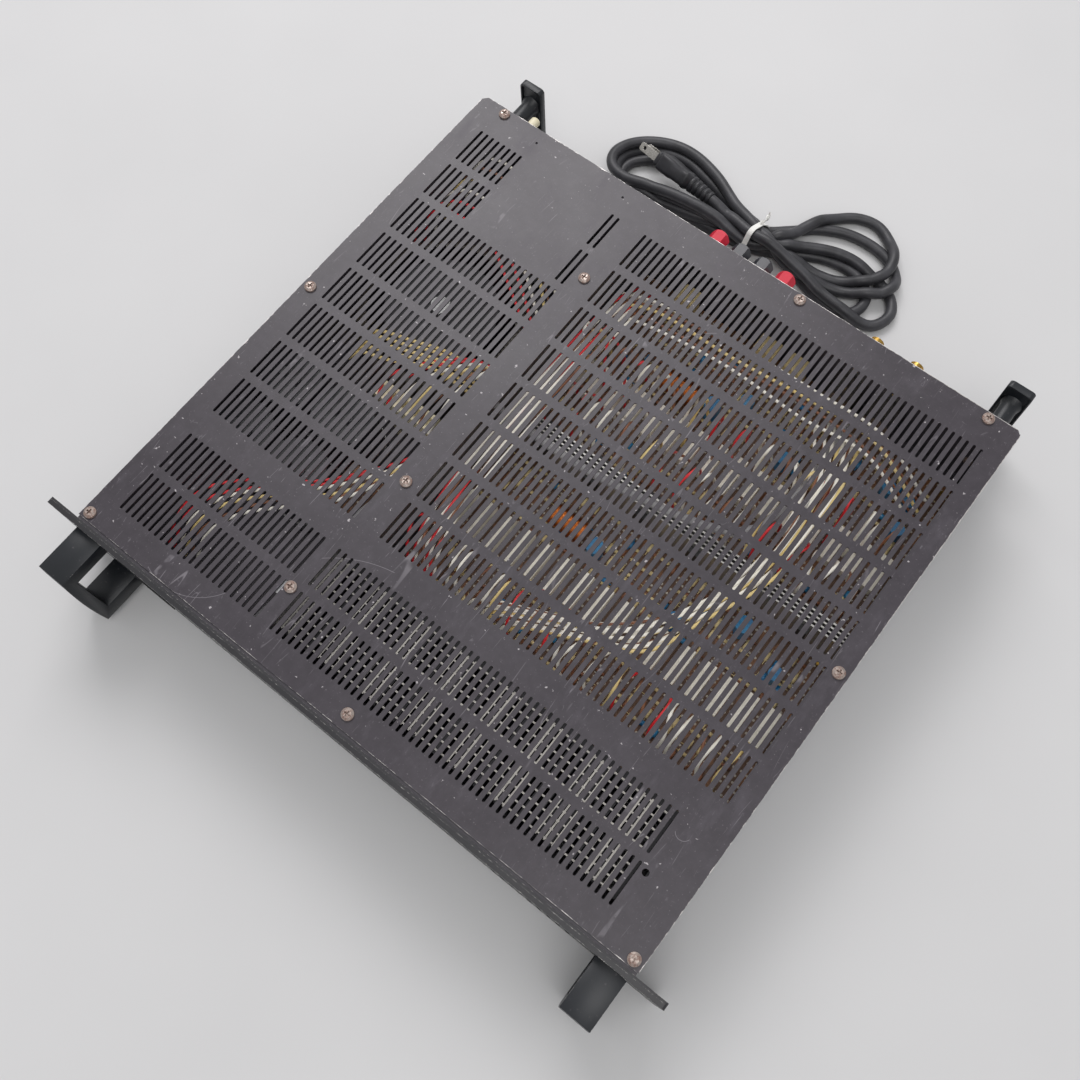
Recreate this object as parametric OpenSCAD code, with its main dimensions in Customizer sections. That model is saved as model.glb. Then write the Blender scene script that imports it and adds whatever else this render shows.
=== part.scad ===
// Two-channel power amplifier, two rack units high, with a tied mains lead.
// Origin: floor level, centre of the box of the amplifier without its lead. Front faces -Y.

/* [Chassis] */
// Width of the chassis and its cover
chassis_w = 438.6; // [436:0.2:442]
// Depth of the cover, front edge to rear edge
chassis_d = 407; // [404:1:410]
// Height of the chassis, tray underside to cover top
chassis_h = 86; // [84:0.5:87]
// Thickness of the tray, rear panel and divider sheet
sheet_t = 1.5; // [1.2:0.1:1.8]
// Thickness of the cover sheet
cover_t = 1.2; // [1:0.1:1.5]
// Height of the rubber feet
foot_h = 4; // [3:0.5:6]

/* [Front panel] */
// Width of a 19 inch rack panel
panel_w = 482.6; // [482:0.1:483]
// Height of a two unit rack panel
panel_h = 88.1; // [87.8:0.1:88.4]
// Thickness of the dress panel
panel_t = 3; // [2.5:0.1:3.5]
// Thickness of the steel panel behind it
sub_panel_t = 1.6; // [1.4:0.1:1.8]

/* [Handles] */
// Distance of each handle's centre from the middle
handle_x = 206.4; // [204:0.2:208]
// Width of a handle
handle_w = 21; // [18:0.5:22]
// Height of a handle
handle_h = 76; // [72:1:78]
// Reach of a handle in front of the panel at its middle
handle_reach = 35; // [32:0.5:38]

/* [Vents] */
// Width of one slot in the cover
slot_w = 2; // [1.8:0.1:2.4]
// Length of one slot in the cover
slot_len = 29.7; // [28:0.1:30.5]
// Distance from slot to slot
slot_pitch = 5.045; // [5:0.005:5.1]
// Distance from row to row, seven slot steps
row_pitch = 35.35; // [35:0.05:35.7]

/* [Rear] */
// Height of the binding posts' axes above the floor
post_z = 47.5; // [44:0.5:50]
// Distance between neighbouring binding posts
post_pitch = 19.05; // [18.5:0.05:19.5]
// Size of a post cap across its flats
cap_flats = 12.7; // [12:0.1:13]
// Reach of the rear stands behind the cover
stand_reach = 37; // [35:1:40]

/* [Lead] */
// Diameter of the mains lead
cord_d = 8.4; // [8:0.1:8.8]
// Distance of the lead's exit from the middle, to the left
exit_x = 118; // [112:1:122]

/* [Hidden] */

// Sides of a round shape, and of a small one
round_fn = 48;
small_fn = 24;
// Small overlap that keeps cuts clean
eps = 0.01;

// Places along Y
panel_gap = 2;
front_reach = panel_gap + sub_panel_t + panel_t + handle_reach;
cover_front = -(chassis_d + stand_reach - front_reach) / 2;
cover_rear = cover_front + chassis_d;
sub_rear = cover_front - panel_gap;
panel_rear = sub_rear - sub_panel_t;
panel_face = panel_rear - panel_t;
rear_inset = 1.5;
rear_face = cover_rear - rear_inset;
rear_inner = rear_face - sheet_t;
// Places along Z
tray_z = foot_h;
floor_z = foot_h + sheet_t;
top_z = foot_h + chassis_h;
cover_z = top_z - cover_t;
flange_z = cover_z - sheet_t;
panel_top = top_z + 1;
panel_z = panel_top - panel_h;
panel_mid = panel_top - panel_h / 2;
// Places along X
wall_x = chassis_w / 2 - 0.5;
wall_in = wall_x - sheet_t;

// Rack slots of a two unit panel
rack_x = 465.1 / 2;
rack_z = 76.2 / 2;
rack_slot = [10.3, 6.8];

// Handles: arms at the top and bottom, a bar in front
handle_z = panel_mid - handle_h / 2 - 0.3;
arm_top_t = 12;
arm_bottom_t = 13.5;
bar_t = 7.5;
bow = 1.6;
handle_screw_z = [handle_z + arm_bottom_t / 2, handle_z + handle_h - arm_top_t / 2];

// Cover screws, as [x, distance behind the front edge]
COVER_SCREWS = [
    [-213.7, 5], [0, 9], [213.2, 4.5], [-79.8, 46.5], [-69, 143], [-70, 329],
    [-213, 212], [213, 206], [-197.5, 402], [54, 402], [197, 402],
];
// A screw position left empty
SPARE_HOLE = [191, 45];
SMALL_HOLES = [[-164, 396.5], [-88.3, 396.5]];
screw_hole_r = 2.2;
head_r = 4;
head_h = 2.4;

// Rows of slots: distance of the first row behind the front edge
front_row = 18.9;
rear_row = 104.3;

// Divider between the supply bay and the amplifier bay
divider_x = -69.5;
divider_front_x = -80;
divider_jog = 98;

// Feet
FEET = [[-206, 45], [206, 45], [-206, 360], [206, 360]];
foot_r = 9;

// Transformer
toroid_c = [-143, 262];
toroid_r = 62;
toroid_hole = 18;
toroid_h = 58;
clamp_r = 40;

// Filter capacitors
CANS = [[-188, 158], [-188, 110], [-141, 158], [-141, 110]];
can_r = 21.5;
can_h = 66;

// Supply board, terminal block
supply_c = [-100, 119];
block_c = [-114, 190.5];
block_size = [50, 12, 14];

// Front heatsink: comb of fins under the front vents
sink_x = [-72, 196];
sink_y = [24, 87];
sink_base = 6;
sink_h = 58.5;
fin_t = 2;
fin_pitch = 8;
sink_top = floor_z + sink_h;
sink_n = floor((sink_x[1] - sink_x[0] - fin_t) / fin_pitch);

// Wire mesh on the fins
mesh_pitch = 6.16;
mesh_wire = 1.1;
mesh_x0 = -76.4;
mesh_y0 = 26.7;
mesh_nx = 42;
mesh_ny = 10;

// Output transistors on the back of the heatsink
tr_pitch = 20;
tr_n = 12;
tr_x0 = -48;
tr_size = [15.6, 5, 20];
tr_z = 28;

// Boards
board_z = 24;
board_t = 1.6;
board_top = board_z + board_t;
board_x = [-60, 208];
board_front_y = [88.5, 230.5];
board_rear_y = [242, 393];
// The rear board stops short of the input sockets on the right
board_notch = [86, 380];
SPACERS = [for (y = [95, 224, 249, 374]) for (x = [-54, 202]) [x, y]];
resistor_size = [9, 27, 9];
RESISTOR_ROWS = [153, 283];
resistor_pitch = 16.5;
resistor_n = 16;
resistor_x0 = -50;

// Centre heatsink
centre_y = [231, 241.5];
centre_fin_t = 1.2;
centre_h = 54;

// Small parts standing on the boards, as [x, distance, radius, height]
BLUE_CAPS = [
    [60, 346, 5, 14], [43, 328, 6, 16], [104, 325, 5, 14], [172, 350, 5, 14], [188, 350, 4, 12],
    [192, 328, 5, 14], [41, 196, 6, 16], [184, 198, 5, 14], [112, 188, 5, 14], [150, 212, 6, 16],
];
COILS = [[17, 328], [16, 200]];
coil_r = 8;
coil_len = 26;
RELAYS = [[49, 384], [72, 384], [-20, 384]];
relay_size = [16, 13, 24];
DRIVERS = [for (k = [0 : 5]) -30 + 42 * k];

// Screened input leads, from the rear sockets over the boards to the level controls
LOOM = [
    [124, 378, 40], [126, 352, 58], [128, 300, 70], [112, 248, 72], [20, 226, 72], [-50, 225, 71],
    [-68, 225, 70], [-79, 206, 70], [-79, 150, 70], [-87, 104, 69], [-89, 60, 64], [-98, 18, 52],
];
loom_r = 3;

// Front controls
switch_x = -165;
control_z = panel_mid;
bezel = [24, 30];
rocker_w = 14.4;
rocker_half = 9.8;
rocker_pivot = panel_face + 8.6;
rocker_tilt = 8;
pin_r = 1.2;
// Level controls: slotted shafts that end inside the panel, each in a round well
level_xs = [-120, -84];
well_r = 7.4;
shaft_r = 3;
pot_r = 8.5;
LAMPS = [for (r = [0 : 1]) for (k = [0 : 2]) [-50 + 9 * r, panel_mid - 12 + 12 * k]];
lamp_r = 2.4;
// Front vent group, left end, number and step
front_vent_x = -14;
front_vent_n = 28;
front_vent_step = 7;
front_vent = [3, 44];

// Binding posts, from left to right
POST_X = [for (k = [-1.5 : 1 : 1.5]) k * post_pitch];
collar_len = 6;
stud_r = 2.5;
stud_end = rear_face + 31.5;
fit = 0.05;
insert_r = 4.2;
insert_y = [rear_face + 12, rear_face + 24];
cap_gap = 0.4;
cap_y = [rear_face + collar_len + cap_gap, rear_face + 34.5];

// Push-to-reset breaker
breaker_x = -189;
breaker_z = 66;
breaker_bush = 9;
button_r = 3.75;
button_end = rear_face + 21.5;

// Plug-in input plate with its sockets and captive thumbscrews
input_x = 124;
input_w = 66;
input_z = [10, 70];
input_t = 2;
socket_pitch = 31.2;
socket_z = 34;
thumb_z = 60;
thumb_r = 5;
plate_face = rear_face + input_t;
SOCKET_X = [input_x - socket_pitch / 2, input_x + socket_pitch / 2];

// Rear stands
stand_x = 204;
stand_w = 18.6;
stand_h = 66;
stand_plate_t = 4;
stand_post_r = 6;
stand_mid = 45;
STAND_Z = [stand_mid - 15, stand_mid + 15];
stand_face = cover_rear + stand_reach - stand_plate_t;

// Mains lead: exit, route on the floor, hank, tie and plug
exit_z = 15;
gland_len = 24;
gland_end = rear_face + gland_len;
lead_z = cord_d / 2;
ROUTE = [
    [-exit_x, gland_end, exit_z],
    [-exit_x + 0.5, gland_end + 8, exit_z - 1],
    [-exit_x + 4, gland_end + 18, exit_z - 5],
    [-exit_x + 12, gland_end + 27, lead_z + 2],
    [-exit_x + 23, gland_end + 32, lead_z],
];
hank_low = 9.5;
hank_high = 20;
tie_c = [-19, 476];
tie_w = 4;
tie_t = 1.2;
neck_r = 14;
plug_z = 20.8;
plug_size = [14, 22];
plug_len = 33;
relief_len = 20;
// Lean about the lead, and turn away from the rear panel
plug_tilt = 40;
plug_turn = 7.5;
// Where the lead enters the plug's relief
relief_x = -62;
relief_y = 478;
// Round ends of the hank, as [x, distance behind the front edge, radius]
HANK_LEFT = [-123, 484, 29];
HANK_RIGHT = [[43, 511, 40], [78, 484, 23]];

// ---- helpers -------------------------------------------------------------

// A round-ended slot along Y, its lower end at the origin
module slot_2d(w, len) {
    translate([-w / 2, w / 2]) square([w, len - w]);
    translate([0, w / 2]) circle(d = w, $fn = 16);
    translate([0, len - w / 2]) circle(d = w, $fn = 16);
}

// A round-ended slot centred on the origin, along X
module slot_x_2d(size) {
    square([size[0] - size[1], size[1]], center = true);
    for (s = [-1, 1]) translate([s * (size[0] - size[1]) / 2, 0]) circle(d = size[1], $fn = 32);
}

// A rectangle with rounded corners, its lower left corner at the origin
module round_rect(size, r) {
    translate([r, 0]) square([size[0] - 2 * r, size[1]]);
    translate([0, r]) square([size[0], size[1] - 2 * r]);
    for (x = [r, size[0] - r]) for (y = [r, size[1] - r]) translate([x, y]) circle(r = r, $fn = 32);
}

// A row of slots in the cover
module slot_row(x0, n, y0) {
    for (i = [0 : n - 1]) translate([x0 + i * slot_pitch, y0]) slot_2d(slot_w, slot_len);
}

// Everything inside is placed by its distance behind the cover's front edge
module behind(y) {
    translate([0, cover_front + y, 0]) children();
}

// A sheet standing across Y, drawn in X and Z
module upright(y, t) {
    translate([0, y + t, 0]) rotate([90, 0, 0]) linear_extrude(t) children();
}

// A cylinder along Y from y0 to y1
module along_y(x, z, y0, y1, r, fn = round_fn) {
    translate([x, y0, z]) rotate([-90, 0, 0]) cylinder(r = r, h = y1 - y0, $fn = fn);
}

// A cylinder between two points
module rod(a, b, r) {
    d = b - a;
    len = norm(d);
    translate(a) rotate([0, acos(d[2] / len), atan2(d[1], d[0])]) cylinder(r = r, h = len, $fn = small_fn);
}

// Pan head screw, its head's underside at the origin, its thread pointing down
module pan_screw(r, hr, hh, len) {
    difference() {
        union() {
            cylinder(r = hr, h = hh * 0.55, $fn = round_fn);
            translate([0, 0, hh * 0.55]) cylinder(r1 = hr, r2 = hr * 0.62, h = hh * 0.45, $fn = round_fn);
        }
        for (a = [0, 90]) {
            rotate([0, 0, a]) translate([-hr * 0.5, -hr * 0.12, hh * 0.4]) cube([hr, hr * 0.24, hh]);
        }
    }
    translate([0, 0, -len]) cylinder(r = r, h = len, $fn = small_fn);
}

// ---- chassis -------------------------------------------------------------

module panel_outline() {
    translate([-panel_w / 2, panel_z]) round_rect([panel_w, panel_h], 2);
}

module rack_slots() {
    for (x = [-rack_x, rack_x]) for (z = [-rack_z, rack_z]) {
        translate([x, panel_mid + z]) slot_x_2d(rack_slot);
    }
}

module handle_holes(r) {
    for (x = [-handle_x, handle_x]) for (z = handle_screw_z) translate([x, z]) circle(r = r, $fn = small_fn);
}

module front_vents() {
    for (i = [0 : front_vent_n - 1]) {
        translate([front_vent_x + i * front_vent_step, panel_mid - front_vent[1] / 2]) {
            slot_2d(front_vent[0], front_vent[1]);
        }
    }
}

module control_holes(extra) {
    translate([switch_x - 11 - extra, control_z - 14 - extra]) square([22 + 2 * extra, 28 + 2 * extra]);
    for (x = level_xs) translate([x, control_z]) circle(r = 4 + extra, $fn = round_fn);
    for (p = LAMPS) translate(p) circle(r = lamp_r + fit + extra, $fn = small_fn);
}

module front_panel() {
    color("#1d1e21") upright(panel_rear - panel_t, panel_t) difference() {
        panel_outline();
        rack_slots();
        handle_holes(2.6);
        front_vents();
        control_holes(0);
        for (x = level_xs) translate([x, control_z]) circle(r = well_r, $fn = round_fn);
    }
}

module sub_panel() {
    color("#2b2b2f") upright(sub_rear - sub_panel_t, sub_panel_t) difference() {
        panel_outline();
        rack_slots();
        handle_holes(2.6);
        front_vents();
        control_holes(0.3);
    }
}

module chassis_tray() {
    color("#55525a") difference() {
        union() {
            translate([-wall_x, sub_rear, tray_z]) cube([2 * wall_x, rear_face - sub_rear, sheet_t]);
            for (s = [0, 1]) mirror([s, 0, 0]) {
                translate([wall_in, sub_rear, tray_z]) {
                    cube([sheet_t, rear_face - sub_rear, cover_z - tray_z]);
                }
                translate([wall_in - 12, sub_rear, flange_z]) {
                    cube([12 + sheet_t, rear_inner - 14 - sub_rear, sheet_t]);
                }
            }
            translate([-wall_in, sub_rear, flange_z]) cube([2 * wall_in, 16, sheet_t]);
        }
        tray_cuts();
    }
}

// Air slots under the heatsink, holes for the feet and for the cover screws
module tray_cuts() {
    behind(0) {
        translate([0, 0, tray_z - 1]) linear_extrude(sheet_t + 2) {
            for (i = [0 : 7]) for (j = [0 : 4]) translate([-54 + 33 * i, 33 + 12 * j]) slot_x_2d([26, 4]);
            for (p = FEET) translate(p) circle(r = 3, $fn = small_fn);
            translate(toroid_c) circle(r = 4.2, $fn = small_fn);
        }
        translate([0, 0, flange_z - 1]) linear_extrude(sheet_t + 2) for (p = COVER_SCREWS) {
            translate(p) circle(r = 1.9, $fn = small_fn);
        }
    }
}

module rear_outline() {
    translate([-wall_in, floor_z]) square([2 * wall_in, cover_z - floor_z]);
}

module rear_panel() {
    color("#3b3a3f") {
        difference() {
            union() {
                upright(rear_inner, sheet_t) difference() {
                    rear_outline();
                    rear_holes();
                }
                translate([-wall_in, rear_inner - 12, flange_z]) cube([2 * wall_in, 12 + eps, sheet_t]);
            }
            behind(0) translate([0, 0, flange_z - 1]) linear_extrude(sheet_t + 2) for (p = COVER_SCREWS) {
                translate(p) circle(r = 1.9, $fn = small_fn);
            }
        }
    }
}

module rear_holes() {
    for (x = POST_X) translate([x, post_z]) circle(r = 4, $fn = round_fn);
    translate([breaker_x, breaker_z]) circle(r = 5.5, $fn = round_fn);
    translate([-exit_x, exit_z]) circle(r = 6.5, $fn = round_fn);
    for (s = [-1, 1]) for (z = STAND_Z) translate([s * stand_x, z]) circle(r = 2.1, $fn = small_fn);
    translate([input_x - 28, 16]) square([56, 36]);
    for (x = SOCKET_X) translate([x, thumb_z]) circle(r = 2.2, $fn = small_fn);
}

module top_cover() {
    clip = 3.5;
    color("#68646b") behind(0) translate([0, 0, cover_z]) linear_extrude(cover_t) difference() {
        polygon([
            [-chassis_w / 2, 0], [chassis_w / 2, 0], [chassis_w / 2, chassis_d - clip],
            [chassis_w / 2 - clip, chassis_d], [-chassis_w / 2 + clip, chassis_d],
            [-chassis_w / 2, chassis_d - clip],
        ]);
        cover_vents();
        for (p = COVER_SCREWS) translate(p) circle(r = screw_hole_r, $fn = small_fn);
        translate(SPARE_HOLE) circle(r = screw_hole_r, $fn = small_fn);
        for (p = SMALL_HOLES) translate(p) circle(r = 0.9, $fn = small_fn);
    }
}

// Slot groups: supply bay on the left, amplifier bay on the right
module cover_vents() {
    for (r = [0, 1]) {
        slot_row(-201, 24, front_row + r * row_pitch);
        slot_row(-72, 52, front_row + r * row_pitch);
    }
    for (r = [0 : 7]) slot_row(-57.3, 53, rear_row + r * row_pitch);
    for (r = [0 : 5]) slot_row(-201, 25, rear_row + r * row_pitch);
    for (r = [6, 7]) {
        slot_row(-201, 8, rear_row + r * row_pitch);
        slot_row(-85, 2, rear_row + r * row_pitch);
    }
}

module cover_screws() {
    color("#b7a79c") behind(0) for (p = COVER_SCREWS) {
        translate([p[0], p[1], top_z]) pan_screw(1.9, head_r, head_h, 7);
    }
}

module bay_divider() {
    t = sheet_t;
    color("#77757a") behind(0) difference() {
        union() {
            translate([0, 0, floor_z]) linear_extrude(flange_z - floor_z) {
                translate([divider_x - t / 2, divider_jog]) square([t, chassis_d - 19 - divider_jog]);
                translate([divider_front_x - t / 2, divider_jog]) {
                    square([divider_x - divider_front_x + t, t]);
                }
                translate([divider_front_x - t / 2, 16]) square([t, divider_jog - 16 + eps]);
            }
            for (p = [COVER_SCREWS[3], COVER_SCREWS[4], COVER_SCREWS[5]]) {
                translate([p[0] - 6, p[1] - 8, flange_z - eps]) cube([12, 16, t + eps]);
            }
        }
        for (p = [COVER_SCREWS[3], COVER_SCREWS[4], COVER_SCREWS[5]]) {
            translate([p[0], p[1], flange_z - 8]) cylinder(r = 1.9, h = 12, $fn = small_fn);
        }
        translate([divider_x - 5, 205, 60]) cube([10, 40, 18]);
    }
}

// Side profile of a handle in the plane of its reach and height
module handle_profile() {
    end_reach = handle_reach - bow;
    bow_r = (pow(handle_h / 2, 2) + bow * bow) / (2 * bow);
    difference() {
        intersection() {
            translate([-handle_reach, 0]) square([handle_reach, handle_h]);
            translate([bow_r - handle_reach, handle_h / 2]) circle(r = bow_r, $fn = 180);
            translate([-handle_reach - 10, 0]) round_rect([handle_reach + 20, handle_h], 2);
        }
        translate([-end_reach + bar_t - 0.8, arm_bottom_t]) {
            square([handle_reach + 5, handle_h - arm_bottom_t - arm_top_t]);
        }
    }
}

module handle(side) {
    color("#24272c") difference() {
        translate([side * handle_x - handle_w / 2, panel_face, handle_z]) {
            rotate([90, 0, 90]) linear_extrude(handle_w) handle_profile();
        }
        for (z = handle_screw_z) along_y(side * handle_x, z, panel_face - 14, panel_face + 1, 2.1, small_fn);
    }
}

// Screws from inside: two in each handle, two in each rear stand
module chassis_screws() {
    color("#8d8a86") {
        for (s = [-1, 1]) for (z = handle_screw_z) {
            translate([s * handle_x, sub_rear, z]) rotate([-90, 0, 0]) pan_screw(2.1, 3.8, 2.4, 14);
        }
        for (s = [-1, 1]) for (z = STAND_Z) {
            translate([s * stand_x, rear_inner, z]) rotate([90, 0, 0]) pan_screw(2.1, 3.8, 2.4, 14);
        }
    }
}

module feet() {
    color("#1a1a1a") behind(0) for (p = FEET) translate([p[0], p[1], 0]) {
        difference() {
            union() {
                cylinder(r1 = foot_r - 0.8, r2 = foot_r, h = foot_h, $fn = round_fn);
                cylinder(r = 3, h = foot_h + sheet_t + 2, $fn = small_fn);
            }
            translate([0, 0, -1]) cylinder(r = 2.2, h = 2.5, $fn = small_fn);
        }
    }
}

// ---- rear stands ---------------------------------------------------------

module rear_stand(side) {
    color("#303034") difference() {
        union() {
            translate([side * stand_x - stand_w / 2, 0, stand_mid - stand_h / 2]) {
                upright(stand_face, stand_plate_t) round_rect([stand_w, stand_h], 3);
                upright(stand_face - 1.2, 1.2 + eps) difference() {
                    round_rect([stand_w, stand_h], 3);
                    translate([1.4, 1.4]) round_rect([stand_w - 2.8, stand_h - 2.8], 2);
                }
            }
            for (z = STAND_Z) translate([side * stand_x, 0, z]) {
                along_y(0, 0, rear_face, stand_face + eps, stand_post_r);
                translate([0, stand_face - 5, 0]) rotate([-90, 0, 0]) {
                    cylinder(r1 = stand_post_r, r2 = stand_post_r + 2, h = 5 + eps, $fn = round_fn);
                }
                along_y(0, 0, rear_face, rear_face + 3, stand_post_r + 2);
            }
        }
        for (z = STAND_Z) along_y(side * stand_x, z, rear_face - 1, rear_face + 16, 2.1, small_fn);
    }
}

// ---- mains supply --------------------------------------------------------

module transformer_winding() {
    corner = 9;
    color("#2a2826") behind(toroid_c[1]) translate([toroid_c[0], 0, floor_z]) rotate_extrude($fn = 72) {
        translate([toroid_hole, 0]) round_rect([toroid_r - toroid_hole, toroid_h], corner);
    }
}

module transformer_clamp() {
    color("#8f8d8a") behind(toroid_c[1]) translate([toroid_c[0], 0, floor_z + toroid_h]) difference() {
        union() {
            cylinder(r = clamp_r, h = 2.5, $fn = round_fn);
            translate([0, 0, -10]) cylinder(r1 = 10, r2 = 14, h = 10 + eps, $fn = round_fn);
        }
        translate([0, 0, -11]) cylinder(r = 4.2, h = 20, $fn = small_fn);
    }
}

module transformer_bolt() {
    color("#b9b6ae") behind(toroid_c[1]) translate([toroid_c[0], 0, 0]) {
        translate([0, 0, tray_z + 0.2]) cylinder(r = 4.2, h = toroid_h + 4, $fn = small_fn);
        translate([0, 0, floor_z + toroid_h + 2.5]) cylinder(r = 7.5, h = 6, $fn = 6);
    }
}

module filter_capacitors() {
    color("#202226") behind(0) for (p = CANS) translate([p[0], p[1], floor_z]) {
        cylinder(r = can_r, h = can_h, $fn = round_fn);
        for (s = [-1, 1]) translate([s * 6, 0, can_h]) cylinder(r = 3, h = 3, $fn = small_fn);
    }
}

module capacitor_clamps() {
    color("#9a9a98") behind(0) for (p = CANS) translate([p[0], p[1], floor_z + 8]) difference() {
        cylinder(r = can_r + 1, h = 12, $fn = round_fn);
        translate([0, 0, -1]) cylinder(r = can_r, h = 14, $fn = round_fn);
    }
}

module bridge_rectifier() {
    color("#3f4144") behind(356) translate([-125, 0, floor_z]) {
        difference() {
            translate([-14.5, -14.5, 0]) cube([29, 29, 10]);
            translate([0, 0, -1]) cylinder(r = 2.2, h = 12, $fn = small_fn);
        }
        for (x = [-9, 9]) for (y = [-9, 9]) translate([x - 3, y - 0.4, 10]) cube([6, 0.8, 8]);
    }
}

module supply_board() {
    color("#7b5a3c") behind(supply_c[1]) translate([supply_c[0] - 16, -20, 62]) cube([32, 40, board_t]);
    color("#7b5a3c") behind(supply_c[1]) for (y = [-16, 16]) {
        translate([supply_c[0], y, floor_z]) cylinder(r = 3, h = 62 - floor_z, $fn = small_fn);
    }
}

module terminal_block() {
    z = 54;
    color("#e9e2c8") behind(block_c[1]) {
        difference() {
            translate([block_c[0] - block_size[0] / 2, -block_size[1] / 2, z]) cube(block_size);
            for (i = [0 : 4]) translate([block_c[0] - 20 + 10 * i, 0, z + block_size[2] - 6]) {
                cylinder(r = 3, h = 7, $fn = small_fn);
            }
        }
        for (s = [-1, 1]) translate([block_c[0] + s * 15, 0, floor_z]) {
            cylinder(r = 4, h = z - floor_z, $fn = small_fn);
        }
    }
}

// ---- cooling -------------------------------------------------------------

module front_heatsink() {
    color("#26262a") behind(0) translate([0, 0, floor_z]) linear_extrude(sink_h) {
        translate([sink_x[0], sink_y[1] - sink_base]) square([sink_x[1] - sink_x[0], sink_base]);
        for (i = [0 : sink_n]) {
            translate([sink_x[0] + i * fin_pitch, sink_y[0]]) square([fin_t, sink_y[1] - sink_y[0] - 1]);
        }
    }
}

module intake_mesh() {
    span_x = mesh_nx * mesh_pitch;
    span_y = (mesh_ny - 1) * mesh_pitch;
    w = mesh_wire;
    edge = 1.5;
    color("#c9c7c2") behind(0) translate([mesh_x0, mesh_y0, sink_top]) linear_extrude(w) {
        for (i = [0 : mesh_nx]) translate([i * mesh_pitch - w / 2, -edge]) square([w, span_y + 2 * edge]);
        for (j = [0 : mesh_ny - 1]) translate([-edge, j * mesh_pitch - w / 2]) square([span_x + 2 * edge, w]);
    }
}

module output_transistors() {
    leg = tr_z - board_top;
    color("#2c2c2e") behind(sink_y[1]) for (i = [0 : tr_n - 1]) {
        translate([tr_x0 + i * tr_pitch, 0, tr_z]) {
            difference() {
                translate([-tr_size[0] / 2, 0, 0]) cube(tr_size);
                along_y(0, 16, -1, 7, 1.7, small_fn);
            }
            for (k = [-1 : 1]) translate([k * 5.4 - 0.6, 2, -leg]) cube([1.2, 0.8, leg + eps]);
        }
    }
}

module centre_heatsink() {
    color("#b4b3b0") behind(0) translate([board_x[0], centre_y[0], floor_z]) {
        rotate([90, 0, 90]) linear_extrude(board_x[1] - board_x[0]) {
            depth = centre_y[1] - centre_y[0];
            square([depth, 3]);
            for (k = [0 : 3]) translate([k * (depth - centre_fin_t) / 3, 0]) square([centre_fin_t, centre_h]);
        }
    }
}

// ---- amplifier boards ----------------------------------------------------

module channel_board(range_y) {
    color("#7a4a2e") behind(0) translate([0, 0, board_z]) linear_extrude(board_t) difference() {
        translate([board_x[0], range_y[0]]) square([board_x[1] - board_x[0], range_y[1] - range_y[0]]);
        translate(board_notch) square([200, 50]);
        for (p = SPACERS) translate(p) circle(r = 1.6, $fn = small_fn);
    }
}

module board_spacers() {
    color("#c9b458") behind(0) for (p = SPACERS) translate(p) {
        translate([0, 0, floor_z]) cylinder(r = 3, h = board_z - floor_z, $fn = 6);
        translate([0, 0, board_z - eps]) cylinder(r = 1.6, h = board_t + 2.5, $fn = small_fn);
    }
}

module emitter_resistors() {
    color("#e8e5de") behind(0) for (y = RESISTOR_ROWS) for (i = [0 : resistor_n - 1]) {
        translate([resistor_x0 + i * resistor_pitch - 4.5, y, board_top]) cube(resistor_size);
    }
}

module driver_transistors() {
    z = 38;
    leg = z - board_top;
    color("#3a3a3c") behind(0) for (x = DRIVERS) for (s = [0, 1]) {
        translate([x - 5, s == 0 ? centre_y[0] - 4.5 : centre_y[1], z]) {
            cube([10, 4.5, 15]);
            for (k = [0 : 2]) translate([1.8 + k * 2.6, 1.8, -leg]) cube([1.2, 0.8, leg + eps]);
        }
    }
}

module board_capacitors() {
    color("#2f7fa8") behind(0) for (c = BLUE_CAPS) {
        translate([c[0], c[1], board_top]) cylinder(r = c[2], h = c[3], $fn = small_fn);
    }
}

module output_coils() {
    color("#b06a3a") behind(0) for (c = COILS) translate([c[0] - coil_len / 2, c[1], board_top + coil_r]) {
        rotate([0, 90, 0]) difference() {
            cylinder(r = coil_r, h = coil_len, $fn = round_fn);
            translate([0, 0, -1]) cylinder(r = 5, h = coil_len + 2, $fn = small_fn);
        }
    }
}

module relays() {
    color("#d8c79a") behind(0) for (c = RELAYS) {
        translate([c[0] - relay_size[0] / 2, c[1] - relay_size[1] / 2, board_top]) cube(relay_size);
    }
}

module wiring_loom() {
    color("#b9b7b2") behind(0) tube(LOOM, loom_r, 10, 44);
}

// ---- front controls ------------------------------------------------------

module power_switch() {
    lip = 0.8;
    depth = 24;
    color("#161618") difference() {
        union() {
            translate([switch_x - bezel[0] / 2, 0, control_z - bezel[1] / 2]) {
                upright(panel_face - lip, lip) round_rect(bezel, 1.5);
            }
            translate([switch_x - 11, panel_face - eps, control_z - 14]) cube([22, depth, 28]);
        }
        translate([switch_x - rocker_w / 2 - 0.4, panel_face - lip - 1, control_z - rocker_half - 1]) {
            cube([rocker_w + 0.8, lip + 1 + 16, 2 * rocker_half + 2]);
        }
        translate([switch_x - rocker_w / 2 - 1.4, rocker_pivot, control_z]) rotate([0, 90, 0]) {
            cylinder(r = pin_r + fit, h = rocker_w + 2.8, $fn = small_fn);
        }
    }
}

module power_rocker() {
    color("#8e1418") translate([switch_x, rocker_pivot, control_z]) rotate([-rocker_tilt, 0, 0]) {
        translate([-rocker_w / 2, 0, 0]) rotate([90, 0, 90]) linear_extrude(rocker_w) {
            polygon([
                [-5.2, -rocker_half], [-7.6, 0], [-5.2, rocker_half],
                [0, rocker_half - 1], [3.5, 4], [3.5, -4], [0, -rocker_half + 1],
            ]);
        }
        translate([-rocker_w / 2 - 1, 0, 0]) rotate([0, 90, 0]) {
            cylinder(r = pin_r, h = rocker_w + 2, $fn = small_fn);
        }
    }
}

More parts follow.
